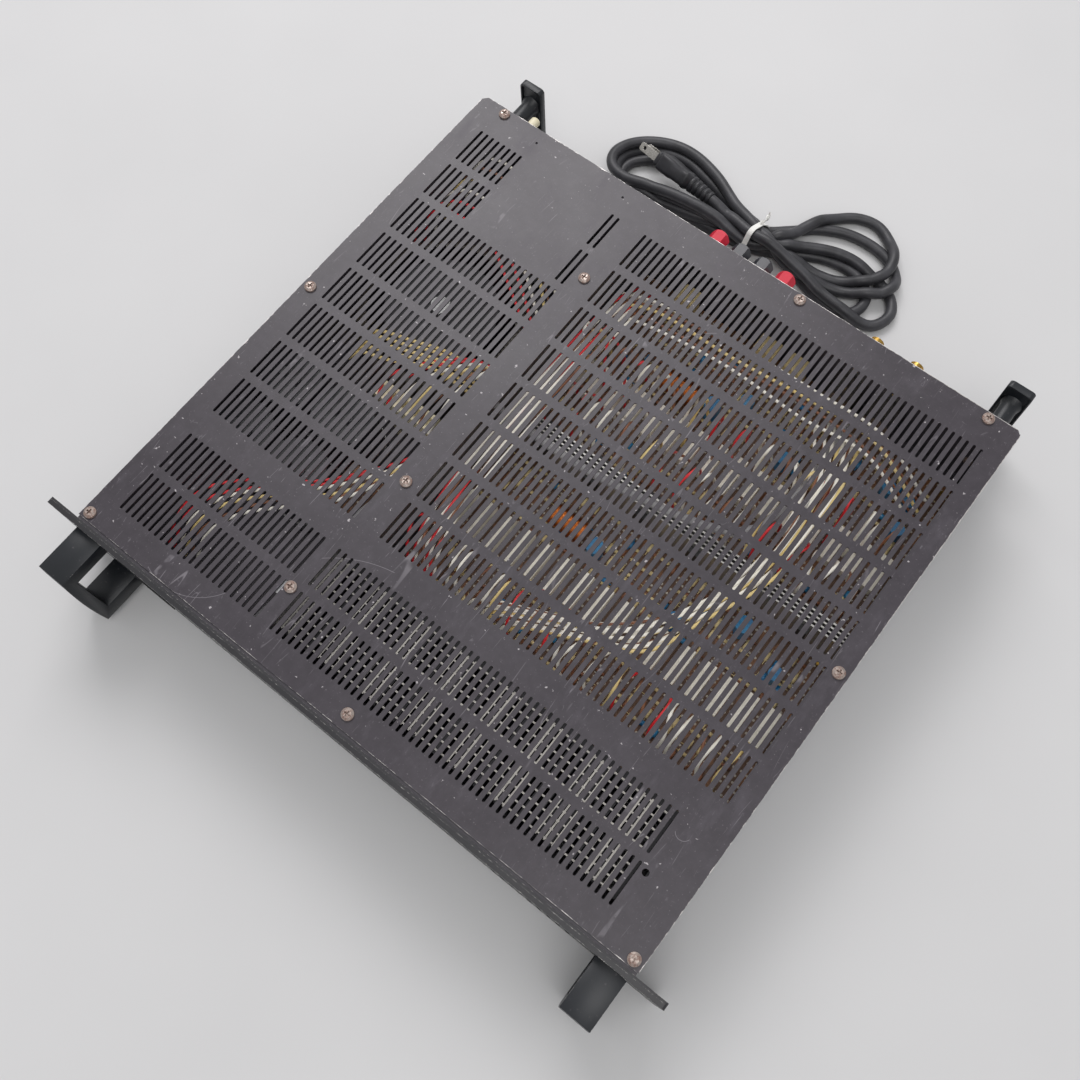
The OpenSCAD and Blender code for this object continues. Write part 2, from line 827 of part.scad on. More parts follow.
module level_pots() {
    color("#7d7f82") for (x = level_xs) difference() {
        union() {
            along_y(x, control_z, sub_rear, sub_rear + 11, pot_r);
            along_y(x, control_z, panel_rear - 2.4, sub_rear + eps, 4);
            translate([x, panel_rear, control_z]) rotate([90, 0, 0]) cylinder(r = 6.3, h = 1.8, $fn = 6);
        }
        along_y(x, control_z, panel_face - 1, sub_rear + 9, shaft_r + fit);
    }
}

module level_shaft(x) {
    color("#a8a9aa") difference() {
        along_y(x, control_z, panel_face + 0.2, sub_rear + 6, shaft_r);
        translate([x - 0.6, panel_face - 1, control_z - 4]) cube([1.2, 2.6, 8]);
    }
}

module indicator_lamps() {
    color("#c0392b") for (p = LAMPS) {
        along_y(p[0], p[1], panel_face + 0.4, sub_rear + 2, lamp_r, small_fn);
    }
}

// ---- rear connections ----------------------------------------------------

module post_bases() {
    color("#1c1c1e") for (x = POST_X) difference() {
        union() {
            along_y(x, post_z, rear_face, rear_face + collar_len, 7);
            along_y(x, post_z, rear_inner - 8, rear_face + eps, 4);
            along_y(x, post_z, rear_face, stud_end, stud_r);
            translate([x, rear_inner - 3, post_z]) rotate([-90, 0, 0]) cylinder(r = 6.5, h = 3, $fn = 6);
        }
        along_y(x, post_z, stud_end - 14, stud_end + 1, 2, small_fn);
    }
}

module post_insert(n) {
    x = POST_X[n - 1];
    color("#c8a24a") difference() {
        along_y(x, post_z, insert_y[0], insert_y[1], insert_r);
        along_y(x, post_z, insert_y[0] - 1, insert_y[1] + 1, stud_r + fit);
    }
}

module post_cap(n, tint) {
    x = POST_X[n - 1];
    taper = 2.2;
    corner_r = cap_flats / 2 / cos(30);
    color(tint) difference() {
        intersection() {
            translate([x, cap_y[0], post_z]) rotate([-90, 0, 0]) {
                cylinder(r = corner_r, h = cap_y[1] - cap_y[0], $fn = 6);
            }
            union() {
                along_y(x, post_z, cap_y[0], cap_y[1] - taper, corner_r + 0.01);
                translate([x, cap_y[1] - taper - eps, post_z]) rotate([-90, 0, 0]) {
                    cylinder(
                        r1 = corner_r + 0.01, r2 = corner_r - taper, h = taper + 2 * eps, $fn = round_fn
                    );
                }
            }
        }
        along_y(x, post_z, cap_y[0] - 1, insert_y[0], stud_r + 0.35);
        along_y(x, post_z, insert_y[0] - fit, insert_y[1] + fit, insert_r + fit);
        along_y(x, post_z, insert_y[1], cap_y[1] + 1, stud_r + 0.35);
    }
}

module breaker_body() {
    color("#1e1e20") difference() {
        union() {
            along_y(breaker_x, breaker_z, rear_inner - 1, rear_face + breaker_bush, 5.5);
            translate([breaker_x, rear_face, breaker_z]) rotate([-90, 0, 0]) {
                cylinder(r = 6.8, h = 2.5, $fn = 6);
            }
            translate([breaker_x - 7, rear_inner - 30, breaker_z - 12]) cube([14, 30, 20]);
        }
        along_y(breaker_x, breaker_z, rear_inner - 12, rear_face + breaker_bush + 1, button_r + fit);
    }
}

module breaker_button() {
    color("#e6dfc4") {
        along_y(breaker_x, breaker_z, rear_inner - 6, button_end - 1, button_r);
        translate([breaker_x, button_end - 1, breaker_z]) rotate([-90, 0, 0]) {
            cylinder(r1 = button_r, r2 = button_r - 0.8, h = 1, $fn = round_fn);
        }
    }
}

module input_plate() {
    color("#2f2e33") upright(rear_face, input_t) difference() {
        translate([input_x - input_w / 2, input_z[0]]) round_rect([input_w, input_z[1] - input_z[0]], 2);
        for (x = SOCKET_X) translate([x, socket_z]) circle(r = 12, $fn = round_fn);
        for (x = SOCKET_X) translate([x, thumb_z]) circle(r = 2 + fit, $fn = small_fn);
    }
}

module input_sockets() {
    color("#5b5c60") for (x = SOCKET_X) difference() {
        union() {
            along_y(x, socket_z, rear_face - 22, plate_face, 12);
            along_y(x, socket_z, plate_face, plate_face + 1.6, 13.4);
        }
        difference() {
            along_y(x, socket_z, plate_face - 14, plate_face + 3, 9.6);
            along_y(x, socket_z, plate_face - 15, plate_face + 0.5, 7.2);
        }
        for (a = [90, 210, 330]) translate([x + 4 * cos(a), 0, socket_z + 4 * sin(a)]) {
            along_y(0, 0, plate_face - 12, plate_face + 2, 1.3, small_fn);
        }
    }
}

// A captive screw with a knurled head
module thumbscrew(n) {
    x = SOCKET_X[n];
    head_y = plate_face + 15;
    ridge_n = 24;
    color("#b08d3e") {
        along_y(x, thumb_z, rear_inner - 6, plate_face + 0.5, 2);
        along_y(x, thumb_z, plate_face + 0.4, head_y + eps, 3);
        difference() {
            along_y(x, thumb_z, head_y, head_y + 3.2, thumb_r);
            for (i = [0 : ridge_n - 1]) translate([x, 0, thumb_z]) rotate([0, i * 360 / ridge_n, 0]) {
                translate([thumb_r - 0.25, head_y - 1, -0.3]) cube([1, 6, 0.6]);
            }
        }
    }
}

// ---- mains lead ----------------------------------------------------------

module cord_gland() {
    color("#1b1b1c") difference() {
        union() {
            along_y(-exit_x, exit_z, rear_inner - 6, rear_face + eps, 6.5);
            along_y(-exit_x, exit_z, rear_face, rear_face + 3, 8.5);
            translate([-exit_x, rear_face + 3 - eps, exit_z]) rotate([-90, 0, 0]) {
                cylinder(r1 = 7, r2 = 5, h = gland_len - 3 + eps, $fn = round_fn);
            }
        }
        along_y(-exit_x, exit_z, rear_inner - 7, gland_end - 6, cord_d / 2);
    }
}

// Point on a smooth curve through the route, at station t
function catmull(a, b, c, d, u) = 0.5 * (2 * b + (c - a) * u + (2 * a - 5 * b + 4 * c - d) * u * u
    + (3 * b - a - 3 * c + d) * u * u * u);
function pick(list, i) = list[max(0, min(len(list) - 1, i))];
function station(list, t) = let (i = min(floor(t), len(list) - 2))
    catmull(pick(list, i - 1), list[i], list[i + 1], pick(list, i + 2), t - i);
function unit(v) = v / norm(v);
// A ring of points round the curve, square to its direction
function ring(list, t, r, n) = let (
        p = station(list, t),
        d = unit(station(list, min(t + 0.05, len(list) - 1)) - station(list, max(t - 0.05, 0))),
        side = unit(cross([0, 0, 1], d)),
        up = cross(d, side)
    ) [for (k = [0 : n - 1]) p + r * (cos(360 * k / n) * side + sin(360 * k / n) * up)];

module tube(list, r, n, steps) {
    last = len(list) - 1;
    rings = [for (s = [0 : steps]) ring(list, s * last / steps, r, n)];
    pts = [for (g = rings) for (p = g) p];
    sides = [for (s = [0 : steps - 1]) for (k = [0 : n - 1])
        [s * n + k, s * n + (k + 1) % n, (s + 1) * n + (k + 1) % n, (s + 1) * n + k]];
    ends = [[for (k = [n - 1 : -1 : 0]) k], [for (k = [0 : n - 1]) steps * n + k]];
    polyhedron(points = pts, faces = concat(sides, ends));
}

module cord_run() {
    color("#2b2b2d") tube(ROUTE, cord_d / 2, 12, 10);
}

// Outer shape of the wound lead: a low loop on the left, a higher fan on the right
module cord_hank() {
    color("#2b2b2d") behind(0) {
        linear_extrude(hank_low) hull() {
            translate([HANK_LEFT[0], HANK_LEFT[1]]) circle(r = HANK_LEFT[2], $fn = 64);
            translate(tie_c) circle(r = neck_r, $fn = 48);
        }
        linear_extrude(hank_high) hull() {
            translate([relief_x, relief_y - neck_r]) square([1, 2 * neck_r]);
            translate(tie_c) circle(r = neck_r, $fn = 48);
        }
        linear_extrude(hank_high) hull() {
            translate(tie_c) circle(r = neck_r, $fn = 48);
            for (c = HANK_RIGHT) translate([c[0], c[1]]) circle(r = c[2], $fn = 64);
        }
    }
}

module cord_tie() {
    w = 2 * neck_r;
    color("#f0f0ee") behind(tie_c[1]) translate([tie_c[0] - tie_w / 2, 0, 0]) {
        for (s = [0, 1]) mirror([0, s, 0]) translate([0, neck_r, 0]) cube([tie_w, tie_t, hank_high + tie_t]);
        translate([0, -neck_r - eps, hank_high]) cube([tie_w, w + 2 * eps, tie_t]);
        translate([tie_w / 2, neck_r - 2, hank_high + tie_t - eps]) cylinder(r = 0.8, h = 8, $fn = small_fn);
    }
}

// Body, tapered relief and two blades, running left from where the lead enters
module mains_plug() {
    blade = [17, 6.2, 1.5];
    body_end = -relief_len - plug_len;
    color("#232325") behind(relief_y) translate([relief_x, 0, plug_z]) rotate([plug_tilt, 0, -plug_turn]) {
        translate([body_end, 0, 0]) rotate([90, 0, 90]) linear_extrude(plug_len) {
            translate([-plug_size[0] / 2, -plug_size[1] / 2]) round_rect(plug_size, 4);
        }
        translate([-relief_len - eps, 0, 0]) rotate([0, 90, 0]) {
            cylinder(r1 = 6.8, r2 = 4.6, h = relief_len + eps, $fn = round_fn);
        }
        for (s = [-1, 1]) {
            translate([body_end - blade[0], -blade[1] / 2, s * 6.35 - blade[2] / 2]) difference() {
                cube([blade[0] + eps, blade[1], blade[2]]);
                translate([4, blade[1] / 2, -1]) cylinder(r = 1.6, h = 4, $fn = small_fn);
            }
        }
    }
}

// ---- placement -----------------------------------------------------------

front_panel();
sub_panel();
chassis_tray();
rear_panel();
top_cover();
cover_screws();
bay_divider();
handle(-1);  // handle_left
handle(1);  // handle_right
rear_stand(-1);  // rear_stand_left
rear_stand(1);  // rear_stand_right
chassis_screws();
feet();
transformer_winding();
transformer_clamp();
transformer_bolt();
filter_capacitors();
capacitor_clamps();
bridge_rectifier();
supply_board();
terminal_block();
relays();
front_heatsink();
intake_mesh();
output_transistors();
centre_heatsink();
channel_board(board_front_y);  // channel_board_front
channel_board(board_rear_y);  // channel_board_rear
board_spacers();
emitter_resistors();
driver_transistors();
board_capacitors();
output_coils();
wiring_loom();
power_switch();
power_rocker();
level_pots();
level_shaft(level_xs[0]);  // level_shaft_left
level_shaft(level_xs[1]);  // level_shaft_right
indicator_lamps();
post_bases();
post_insert(1);  // post_insert_1
post_insert(2);  // post_insert_2
post_insert(3);  // post_insert_3
post_insert(4);  // post_insert_4
post_cap(1, "#d8203a");  // post_cap_1
post_cap(2, "#2e2e32");  // post_cap_2
post_cap(3, "#2e2e32");  // post_cap_3
post_cap(4, "#d8203a");  // post_cap_4
breaker_body();
breaker_button();
input_plate();
input_sockets();
thumbscrew(0);  // thumbscrew_left
thumbscrew(1);  // thumbscrew_right
cord_gland();
cord_run();
cord_hank();
mains_plug();
cord_tie();
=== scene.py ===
import math
import random

import bmesh
import bpy
import numpy as np
from mathutils import Matrix, Vector


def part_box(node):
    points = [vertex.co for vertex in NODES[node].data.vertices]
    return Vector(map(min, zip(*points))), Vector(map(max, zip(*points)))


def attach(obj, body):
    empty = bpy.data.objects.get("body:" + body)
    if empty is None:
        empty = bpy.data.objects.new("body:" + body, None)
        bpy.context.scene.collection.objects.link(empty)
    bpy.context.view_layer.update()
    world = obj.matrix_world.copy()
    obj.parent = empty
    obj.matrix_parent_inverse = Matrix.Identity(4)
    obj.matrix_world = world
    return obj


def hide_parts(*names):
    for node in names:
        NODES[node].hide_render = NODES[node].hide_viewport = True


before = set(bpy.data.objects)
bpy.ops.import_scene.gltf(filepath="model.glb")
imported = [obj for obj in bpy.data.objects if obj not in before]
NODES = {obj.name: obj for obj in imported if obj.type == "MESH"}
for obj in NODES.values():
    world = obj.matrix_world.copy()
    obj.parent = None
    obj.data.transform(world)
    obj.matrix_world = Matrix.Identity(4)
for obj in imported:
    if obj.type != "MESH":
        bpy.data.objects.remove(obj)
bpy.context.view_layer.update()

MM = 0.001
SCENE = bpy.context.scene

# Places shared with the CAD: the cover's front edge, the floor, the top and the boards
COVER_LO, COVER_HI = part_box("top_cover")
FRONT = COVER_LO.y
TOP = COVER_HI.z
REAR_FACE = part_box("rear_panel")[1].y
BOARD_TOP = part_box("channel_board_front")[1].z
CORD_D = 8.4 * MM


def spot(x, behind, z=0.0):
    """A point in metres from millimetres: x, distance behind the cover's front edge, height."""
    return Vector((x * MM, FRONT + behind * MM, z * MM))


# ---- camera, floor and light ----------------------------------------------

def make_camera():
    data = bpy.data.cameras.new("camera")
    data.lens = 38.3
    data.sensor_width = 36.0
    camera = bpy.data.objects.new("camera", data)
    right = Vector((0.78535, 0.61843, -0.02743)).normalized()
    back = Vector((0.22978, -0.25008, 0.94057)).normalized()
    up = back.cross(right).normalized()
    turn = Matrix((right, up, back)).transposed().to_4x4()
    camera.matrix_world = Matrix.Translation((0.1853, FRONT - 0.0136, TOP + 0.668)) @ turn
    SCENE.collection.objects.link(camera)
    SCENE.camera = camera


def add_light(name, place, aim, size, power, colour):
    data = bpy.data.lights.new(name, "AREA")
    data.shape = "RECTANGLE"
    data.size, data.size_y = size
    data.energy = power
    data.color = colour
    light = bpy.data.objects.new(name, data)
    light.location = place
    light.rotation_euler = (Vector(aim) - Vector(place)).to_track_quat("-Z", "Y").to_euler()
    light.visible_camera = False
    SCENE.collection.objects.link(light)


def make_stage():
    world = bpy.data.worlds.new("studio")
    world.use_nodes = True
    sky = world.node_tree.nodes["Background"]
    sky.inputs["Color"].default_value = (0.98, 0.98, 1.0, 1.0)
    sky.inputs["Strength"].default_value = 0.55
    SCENE.world = world
    SCENE.view_settings.view_transform = "Standard"
    add_light("window", (-1.15, 1.25, 2.0), (-0.1, 0.1, 0.05), (1.6, 1.3), 33.0, (1.0, 0.98, 0.99))
    add_light("ceiling", (0.5, -0.55, 2.0), (0.0, 0.0, 0.0), (1.2, 1.2), 11.0, (1.0, 0.99, 0.98))
    # Fill under the cover, standing for the light that the vents let in and the bare parts pass on
    for side, power in ((-0.13, 0.07), (0.08, 0.16)):
        add_light("vent_fill", (side, 0.0, TOP - 0.0045), (side, 0.0, 0.0),
                  (0.14 if side < 0 else 0.26, 0.36), power, (1.0, 0.98, 0.96))
    mesh = bpy.data.meshes.new("floor")
    mesh.from_pydata([(-4, -4, 0), (4, -4, 0), (4, 4, 0), (-4, 4, 0)], [], [(0, 1, 2, 3)])
    floor = bpy.data.objects.new("floor", mesh)
    SCENE.collection.objects.link(floor)
    floor.data.materials.append(MATERIALS["floor"])


# ---- materials --------------------------------------------------------------

MATERIALS = {}


def tone(code, alpha=1.0):
    """An sRGB hex colour as linear values."""
    def channel(c):
        return c / 12.92 if c <= 0.04045 else ((c + 0.055) / 1.055) ** 2.4
    return tuple(channel(int(code[i:i + 2], 16) / 255) for i in (1, 3, 5)) + (alpha,)


def add(tree, kind, feeds=None, **settings):
    """Adds a node, sets its settings, and feeds its sockets with values or other sockets."""
    node = tree.nodes.new(kind)
    for key, value in settings.items():
        setattr(node, key, value)
    for key, value in (feeds or {}).items():
        socket = node.inputs[key]
        if isinstance(value, bpy.types.NodeSocket):
            tree.links.new(value, socket)
        else:
            socket.default_value = value
    return node


def start(name):
    """A new material: its tree, its shader and the object coordinates in metres."""
    material = bpy.data.materials.new(name)
    material.use_nodes = True
    tree = material.node_tree
    tree.nodes.clear()
    shader = add(tree, "ShaderNodeBsdfPrincipled")
    add(tree, "ShaderNodeOutputMaterial", {"Surface": shader.outputs[0]})
    place = add(tree, "ShaderNodeTexCoord").outputs["Object"]
    return material, tree, shader, place


def grain(tree, place, size_mm, detail=3.0, rough=0.55, stretch=(1, 1, 1), turn=(0, 0, 0),
          kind="ShaderNodeTexNoise"):
    """Noise whose features are about size_mm across."""
    mapped = add(tree, "ShaderNodeMapping",
                 {"Vector": place, "Scale": stretch, "Rotation": turn}).outputs[0]
    node = add(tree, kind, {"Vector": mapped, "Scale": 1.0 / (size_mm * MM), "Detail": detail,
                            "Roughness": rough})
    return node.outputs["Fac" if kind == "ShaderNodeTexNoise" else 0]


def fit(tree, value, lo, hi, to_lo=0.0, to_hi=1.0):
    """A value's range lo..hi turned to another, held at its ends."""
    return add(tree, "ShaderNodeMapRange", {0: value, 1: lo, 2: hi, 3: to_lo, 4: to_hi},
               clamp=True).outputs[0]


def calc(tree, how, a, b=0.0, c=0.0):
    """One step of arithmetic."""
    return add(tree, "ShaderNodeMath", {0: a, 1: b, 2: c}, operation=how).outputs[0]


def blend(tree, share, first, second):
    """Colour first where share is 0, second where it is 1."""
    node = add(tree, "ShaderNodeMix", {"Factor": share}, data_type="RGBA")
    for socket, value in ((node.inputs[6], first), (node.inputs[7], second)):
        if isinstance(value, bpy.types.NodeSocket):
            tree.links.new(value, socket)
        else:
            socket.default_value = value
    return node.outputs[2]


def relief(tree, shader, height, depth_mm, strength=1.0):
    """Small height on a surface, seen in how it catches light."""
    bump = add(tree, "ShaderNodeBump", {"Height": height, "Distance": depth_mm * MM, "Strength": strength})
    tree.links.new(bump.outputs[0], shader.inputs["Normal"])


def edge_nearness(tree, place, lo, hi, width_mm):
    """1 on the edges of the box lo..hi, falling to 0 at width_mm from them."""
    axes = add(tree, "ShaderNodeSeparateXYZ", {0: place}).outputs
    gaps = []
    for i in range(3):
        low = calc(tree, "SUBTRACT", axes[i], lo[i])
        high = calc(tree, "SUBTRACT", hi[i], axes[i])
        gaps.append(calc(tree, "ABSOLUTE", calc(tree, "MINIMUM", low, high)))
    least = calc(tree, "MINIMUM", gaps[0], gaps[1])
    most = calc(tree, "MAXIMUM", gaps[0], gaps[1])
    second = calc(tree, "MAXIMUM", least, calc(tree, "MINIMUM", most, gaps[2]))
    return fit(tree, second, 0.0, width_mm * MM, 1.0, 0.0)


def scratches(tree, place, gap_mm, lean, seed, width=0.0045, length=14.0, share=(0.6, 0.66)):
    """Fine, nearly straight scratches at one slant, broken into short runs: 1 on a scratch."""
    turned_place = add(tree, "ShaderNodeMapping", {
        "Vector": place, "Rotation": (0, 0, lean), "Location": (seed * 3.7, seed * 2.1, 0),
        "Scale": (1.0 / (gap_mm * MM), 1.0 / (gap_mm * length * MM), 1.0)}).outputs[0]
    wave = add(tree, "ShaderNodeTexNoise", {"Vector": turned_place, "Scale": 1.0, "Detail": 1.0},
               noise_dimensions="2D").outputs[0]
    line = fit(tree, calc(tree, "ABSOLUTE", calc(tree, "SUBTRACT", wave, 0.5)), width * 0.4, width, 1.0,
               0.0)
    runs = grain(tree, place, gap_mm * 0.9, 2.0, 0.5)
    return calc(tree, "MULTIPLY", line, fit(tree, runs, *share))


def arc_mark(tree, place, middle, radius, half_width, ends):
    """One curved scratch: part of a circle seen from above, in mm from the frame's origin."""
    axes = add(tree, "ShaderNodeSeparateXYZ", {0: place}).outputs
    dx = calc(tree, "SUBTRACT", axes[0], middle[0] * MM)
    dy = calc(tree, "SUBTRACT", axes[1], FRONT + middle[1] * MM)
    far = calc(tree, "SQRT",
               calc(tree, "ADD", calc(tree, "MULTIPLY", dx, dx), calc(tree, "MULTIPLY", dy, dy)))
    off = calc(tree, "ABSOLUTE", calc(tree, "SUBTRACT", far, radius * MM))
    line = fit(tree, off, half_width * 0.4 * MM, half_width * MM, 1.0, 0.0)
    angle = calc(tree, "ARCTAN2", dy, dx)
    inside = calc(tree, "MULTIPLY", calc(tree, "GREATER_THAN", angle, ends[0]),
                  calc(tree, "LESS_THAN", angle, ends[1]))
    return calc(tree, "MULTIPLY", line, inside)


def coated(name, tones, grain_mm, rough, bump_mm=0.02, metallic=0.0, patch_mm=45.0, coat=0.0, box=None,
           worn=None, worn_mm=1.2, worn_share=(0.45, 0.6), specks=None, speck_mm=2.5,
           speck_share=(0.66, 0.72)):
    """Two near tones in patches, fine grain in gloss and height and, where asked, worn edges and specks."""
    material, tree, shader, place = start(name)
    fine = grain(tree, place, grain_mm, 3.0, 0.6)
    broad = grain(tree, place, patch_mm, 4.0, 0.6)
    colour = blend(tree, fit(tree, broad, 0.35, 0.65), tone(tones[0]), tone(tones[1]))
    metal, shine = None, fit(tree, fine, 0.3, 0.7, rough[0], rough[1])
    if specks:
        flecks = fit(tree, grain(tree, place, speck_mm, 5.0, 0.65), *speck_share)
        colour = blend(tree, flecks, colour, tone(specks))
        shine = fit(tree, flecks, 0.0, 1.0, shine, 0.75)
    if worn:
        near = edge_nearness(tree, place, *box, worn_mm)
        ragged = grain(tree, place, worn_mm * 2.2, 5.0, 0.7)
        bare = fit(tree, calc(tree, "MULTIPLY", near, ragged), *worn_share)
        colour = blend(tree, bare, colour, tone(worn))
        metal = bare
    tree.links.new(colour, shader.inputs["Base Color"])
    tree.links.new(shine, shader.inputs["Roughness"])
    if metal is not None:
        tree.links.new(metal, shader.inputs["Metallic"])
    else:
        shader.inputs["Metallic"].default_value = metallic
    shader.inputs["Coat Weight"].default_value = coat
    if bump_mm:
        relief(tree, shader, fine, bump_mm)
    MATERIALS[name] = material
    return material


# Curved scratches on the cover: centre (x, behind), radius, and the angles it runs between
ARCS = [((-144, 39), 40, (-1.96, -0.52)), ((-20, 8), 86, (1.75, 2.3)), ((195, 76), 5, (-2.6, -0.3)),
        ((60, 300), 60, (2.2, 2.6))]


def cover_enamel():
    # Stove enamel on pressed steel, charcoal with a violet cast: satin, scuffed, bare along its edges.
    material, tree, shader, place = start("worn_charcoal_enamel")
    broad = grain(tree, place, 90.0, 4.0, 0.6)
    fine = grain(tree, place, 0.5, 2.0, 0.6)
    colour = blend(tree, fit(tree, broad, 0.3, 0.7), tone("#322d33"), tone("#3a353b"))
    rubbed = fit(tree, grain(tree, place, 14.0, 6.0, 0.7, (1, 0.35, 1)), 0.55, 0.75)
    colour = blend(tree, calc(tree, "MULTIPLY", rubbed, 0.45), colour, tone("#57525a"))
    marks = None
    for lean, gap, seed in ((0.35, 16.0, 1.0), (1.25, 22.0, 2.0), (-0.6, 19.0, 3.0), (2.1, 26.0, 4.0),
                            (0.9, 30.0, 5.0)):
        lines = scratches(tree, place, gap, lean, seed)
        marks = lines if marks is None else calc(tree, "MAXIMUM", marks, lines)
    for lean, gap, seed in ((0.1, 5.0, 6.0), (1.7, 6.0, 7.0), (-1.0, 7.0, 8.0)):
        ticks = scratches(tree, place, gap, lean, seed, 0.009, 7.0, (0.62, 0.7))
        marks = calc(tree, "MAXIMUM", marks, calc(tree, "MULTIPLY", ticks, 0.7))
    marks = calc(tree, "MULTIPLY", marks, fit(tree, grain(tree, place, 60.0, 2.0), 0.35, 0.7, 0.25, 1.0))
    for middle, radius, ends in ARCS:
        marks = calc(tree, "MAXIMUM", marks, arc_mark(tree, place, middle, radius, 0.22, ends))
    colour = blend(tree, calc(tree, "MULTIPLY", marks, 0.42), colour, tone("#a39ea4"))
    smudges = fit(tree, grain(tree, place, 9.0, 5.0, 0.7), 0.4, 0.7)
    colour = blend(tree, calc(tree, "MULTIPLY", smudges, 0.16), colour, tone("#5d575f"))
    dust = fit(tree, grain(tree, place, 1.3, 2.0, 0.5), 0.68, 0.74)
    colour = blend(tree, calc(tree, "MULTIPLY", dust, 0.3), colour, tone("#8f898f"))
    chips = fit(tree, grain(tree, place, 3.5, 3.0, 0.5), 0.72, 0.735)
    colour = blend(tree, calc(tree, "MULTIPLY", chips, 0.8), colour, tone("#b9b4b6"))
    axes = add(tree, "ShaderNodeSeparateXYZ", {0: place}).outputs
    side = calc(tree, "MINIMUM", calc(tree, "SUBTRACT", COVER_HI.x, axes[0]),
                calc(tree, "ADD", axes[0], COVER_HI.x))
    ends = calc(tree, "MINIMUM", calc(tree, "SUBTRACT", COVER_HI.y, axes[1]),
                calc(tree, "SUBTRACT", axes[1], COVER_LO.y))
    rim = fit(tree, calc(tree, "MINIMUM", side, ends), 0.0, 1.3 * MM, 1.0, 0.0)
    rear_right = fit(tree, calc(tree, "ADD", axes[0], axes[1]), 0.18, 0.36, 0.85, 1.15)
    ragged = calc(tree, "MULTIPLY", grain(tree, place, 7.0, 6.0, 0.75), rear_right)
    bare = fit(tree, calc(tree, "MULTIPLY", rim, ragged), 0.36, 0.46)
    colour = blend(tree, bare, colour, tone("#c9c5c2"))
    tree.links.new(colour, shader.inputs["Base Color"])
    tree.links.new(bare, shader.inputs["Metallic"])
    shine = calc(tree, "ADD", fit(tree, broad, 0.3, 0.7, 0.34, 0.42), calc(tree, "MULTIPLY", rubbed, 0.1))
    tree.links.new(shine, shader.inputs["Roughness"])
    relief(tree, shader, fine, 0.015)
    MATERIALS["cover"] = material


def rusty_screw():
    # Nickel-plated steel gone brown: bright plating with rust spreading out of the recess.
    material, tree, shader, place = start("rusted_nickel_plate")
    rust = fit(tree, grain(tree, place, 2.2, 6.0, 0.75), 0.42, 0.6)
    pits = grain(tree, place, 0.4, 3.0, 0.7)
    colour = blend(tree, rust, tone("#b8aca4"), blend(tree, pits, tone("#6d5148"), tone("#9a7f74")))
    tree.links.new(colour, shader.inputs["Base Color"])
    tree.links.new(fit(tree, rust, 0.0, 1.0, 0.9, 0.25), shader.inputs["Metallic"])
    tree.links.new(fit(tree, rust, 0.0, 1.0, 0.32, 0.8), shader.inputs["Roughness"])
    relief(tree, shader, pits, 0.06)
    MATERIALS["screw"] = material


def phenolic_board():
    # Paper phenolic board: brown laminate with paler flecks and solder-side tracks that show as darker bands.
    material, tree, shader, place = start("paper_phenolic_laminate")
    flecks = grain(tree, place, 1.2, 4.0, 0.7)
    colour = blend(tree, fit(tree, flecks, 0.35, 0.7), tone("#5d3a22"), tone("#7d5533"))
    mapped = add(tree, "ShaderNodeMapping", {"Vector": place, "Scale": (1.0, 0.45, 1.0)}).outputs[0]
    cells = add(tree, "ShaderNodeTexVoronoi", {"Vector": mapped, "Scale": 1.0 / (9.0 * MM)},
                voronoi_dimensions="2D", distance="MANHATTAN", feature="F1")
    tracks = fit(tree, cells.outputs[0], 0.30, 0.36)
    colour = blend(tree, calc(tree, "MULTIPLY", tracks, 0.7), colour, tone("#3d2a1c"))
    pads = add(tree, "ShaderNodeTexVoronoi",
               {"Vector": place, "Scale": 1.0 / (5.0 * MM), "Randomness": 0.6},
               voronoi_dimensions="2D", feature="F1")
    dots = fit(tree, pads.outputs[0], 0.14, 0.18, 1.0, 0.0)
    colour = blend(tree, calc(tree, "MULTIPLY", dots, 0.8), colour, tone("#b6b2a8"))
    tree.links.new(colour, shader.inputs["Base Color"])
    shader.inputs["Roughness"].default_value = 0.5
    relief(tree, shader, flecks, 0.03)
    MATERIALS["board"] = material


def cord_sheath():
    # Moulded PVC sheath: dark grey, faintly lengthwise grained, dusted, with a soft gloss.
    material, tree, shader, place = start("pvc_cord_sheath")
    dust = grain(tree, place, 18.0, 5.0, 0.65)
    fine = grain(tree, place, 0.9, 3.0, 0.6)
    colour = blend(tree, fit(tree, dust, 0.35, 0.7), tone("#2c2c2f"), tone("#434347"))
    tree.links.new(colour, shader.inputs["Base Color"])
    tree.links.new(fit(tree, fine, 0.3, 0.7, 0.38, 0.52), shader.inputs["Roughness"])
    relief(tree, shader, fine, 0.03)
    MATERIALS["cord"] = material


def wound_tape():
    # Polyester tape wound round a toroid: dark, glossy, with each turn's edge showing.
    material, tree, shader, place = start("wound_polyester_tape")
    axes = add(tree, "ShaderNodeSeparateXYZ", {0: place}).outputs
    lo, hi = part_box("transformer_winding")
    middle = (lo + hi) / 2
    angle = calc(tree, "ARCTAN2", calc(tree, "SUBTRACT", axes[1], middle.y),
                 calc(tree, "SUBTRACT", axes[0], middle.x))
    turns = calc(tree, "FRACT", calc(tree, "MULTIPLY", angle, 90 / (2 * math.pi)))
    step = fit(tree, turns, 0.0, 0.18)
    colour = blend(tree, step, tone("#1b1917"), tone("#38332c"))
    tree.links.new(colour, shader.inputs["Base Color"])
    shader.inputs["Roughness"].default_value = 0.35
    relief(tree, shader, step, 0.25)
    MATERIALS["tape"] = material


